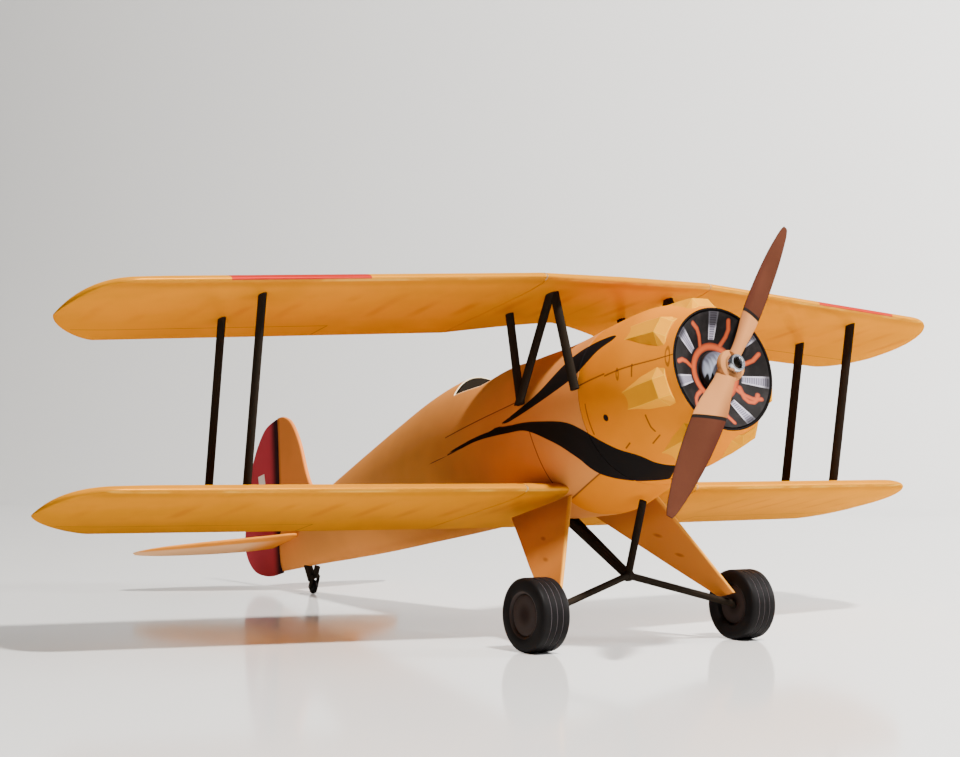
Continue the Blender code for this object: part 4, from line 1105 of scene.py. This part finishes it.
def buildCamera():
    # looking direction from yaw and pitch; right is level, then both turn by the roll
    yaw, pitch, roll = (math.radians(view[k]) for k in ("yaw", "pitch", "roll"))
    forward = np.array((math.sin(yaw) * math.cos(pitch), math.cos(yaw) * math.cos(pitch), -math.sin(pitch)))
    right = np.cross(forward, (0, 0, 1.0))
    right /= np.linalg.norm(right)
    down = np.cross(forward, right)
    c, s = math.cos(roll), math.sin(roll)
    right, down = c * right + s * down, -s * right + c * down
    data = bpy.data.cameras.new("photoCamera")
    data.lens, data.sensor_width, data.clip_start = view["lens"], 36.0, 0.01
    camera = bpy.data.objects.new("photoCamera", data)
    turned = Matrix.Identity(4)
    for row in range(3):
        turned[row][0], turned[row][1], turned[row][2] = right[row], -down[row], -forward[row]
        turned[row][3] = view["place"][row]
    camera.matrix_world = turned
    bpy.context.scene.collection.objects.link(camera)
    bpy.context.scene.camera = camera


studio = dict(wallDepth=1.3, sweepRadius=0.6, width=9.0, wallHeight=3.5, ambient=0.13,
              keyFrom=(0.0, -0.54, 0.843), keyDistance=1.6, keySize=0.12, keyPower=80.0,
              wallLightPower=78.0, topPower=0.5, paintedLightLeft=0.44, paintedLightRight=0.86, paintedLightReach=0.45)


def fromPhoto(right, away, up):
    # a studio place given from the camera: to its right, away from it past the model's middle, and up
    yaw = math.radians(view["yaw"])
    return (right * math.cos(yaw) + away * math.sin(yaw), -right * math.sin(yaw) + away * math.cos(yaw), up)


def buildStudio():
    # table top that curves up into a pale wall
    recipe = Recipe("paleTable")
    x, y, _ = recipe.parts(recipe.objectPlace())
    yaw = math.radians(view["yaw"])
    # painted light: table and wall are coloured darker to the left and lighter to the right, as if lit from the right
    rightward = x * math.cos(yaw) + y * -math.sin(yaw)
    across = recipe.calc("ADD", rightward * (0.5 / studio["paintedLightReach"]), 0.5, clamp=True)
    across = across + recipe.noise(3.0, 2.0) * 0.03
    low, high = studio["paintedLightLeft"], studio["paintedLightRight"]
    colour = recipe.mix(across, (low, low * 0.99, low * 0.97, 1), (high, high * 0.99, high * 0.97, 1))
    finish = recipe.finish(colour, 0.6, recipe.noise(900.0), 0.02, 0.0001, Specular_IOR_Level=0.0,
                           Coat_Weight=0.8, Coat_Roughness=0.10)
    depth, radius = studio["wallDepth"], studio["sweepRadius"]
    bend = np.linspace(0, math.pi / 2, 32)
    away = np.concatenate(((-1.5, 0.0), depth - radius + radius * np.sin(bend), (depth,)))
    up = np.concatenate(((0.0, 0.0), radius * (1 - np.cos(bend)), (studio["wallHeight"],)))
    right = np.linspace(-studio["width"] / 2, studio["width"] / 2, 3)
    grid = np.stack(np.broadcast_arrays(*fromPhoto(right[None], away[:, None], up[:, None])), -1)
    floor = surface("studioFloor", grid, finish, ends="open", around=False)
    world = bpy.data.worlds.new("studio")
    bpy.context.scene.world = world
    world.use_nodes = True
    background = world.node_tree.nodes["Background"]
    background.inputs[0].default_value = (0.96, 0.98, 1.0, 1)
    background.inputs[1].default_value = studio["ambient"]


def areaLight(name, place, target, size, power, colour=(1.0, 1.0, 1.0)):
    data = bpy.data.lights.new(name, "AREA")
    data.shape, data.size, data.size_y, data.energy, data.color = "RECTANGLE", size[0], size[1], power, colour
    lamp = bpy.data.objects.new(name, data)
    aim = Vector(target) - Vector(place)
    lamp.matrix_world = Matrix.Translation(place) @ aim.to_track_quat("-Z", "Y").to_matrix().to_4x4()
    bpy.context.scene.collection.objects.link(lamp)


buildCamera()
buildStudio()
keyPlace = tuple(studio["keyDistance"] * v for v in studio["keyFrom"])
areaLight("keyLight", keyPlace, (0, 0, 0.05), (studio["keySize"],) * 2, studio["keyPower"], (1.0, 0.97, 0.93))
areaLight("topLight", (0.2, 0.1, 1.6), (0, 0, 0), (1.2, 1.2), studio["topPower"])
areaLight("wallLight", fromPhoto(1.9, 0.35, 0.9), fromPhoto(0.9, 1.3, 0.4), (0.8, 0.8), studio["wallLightPower"])
print("studio built")
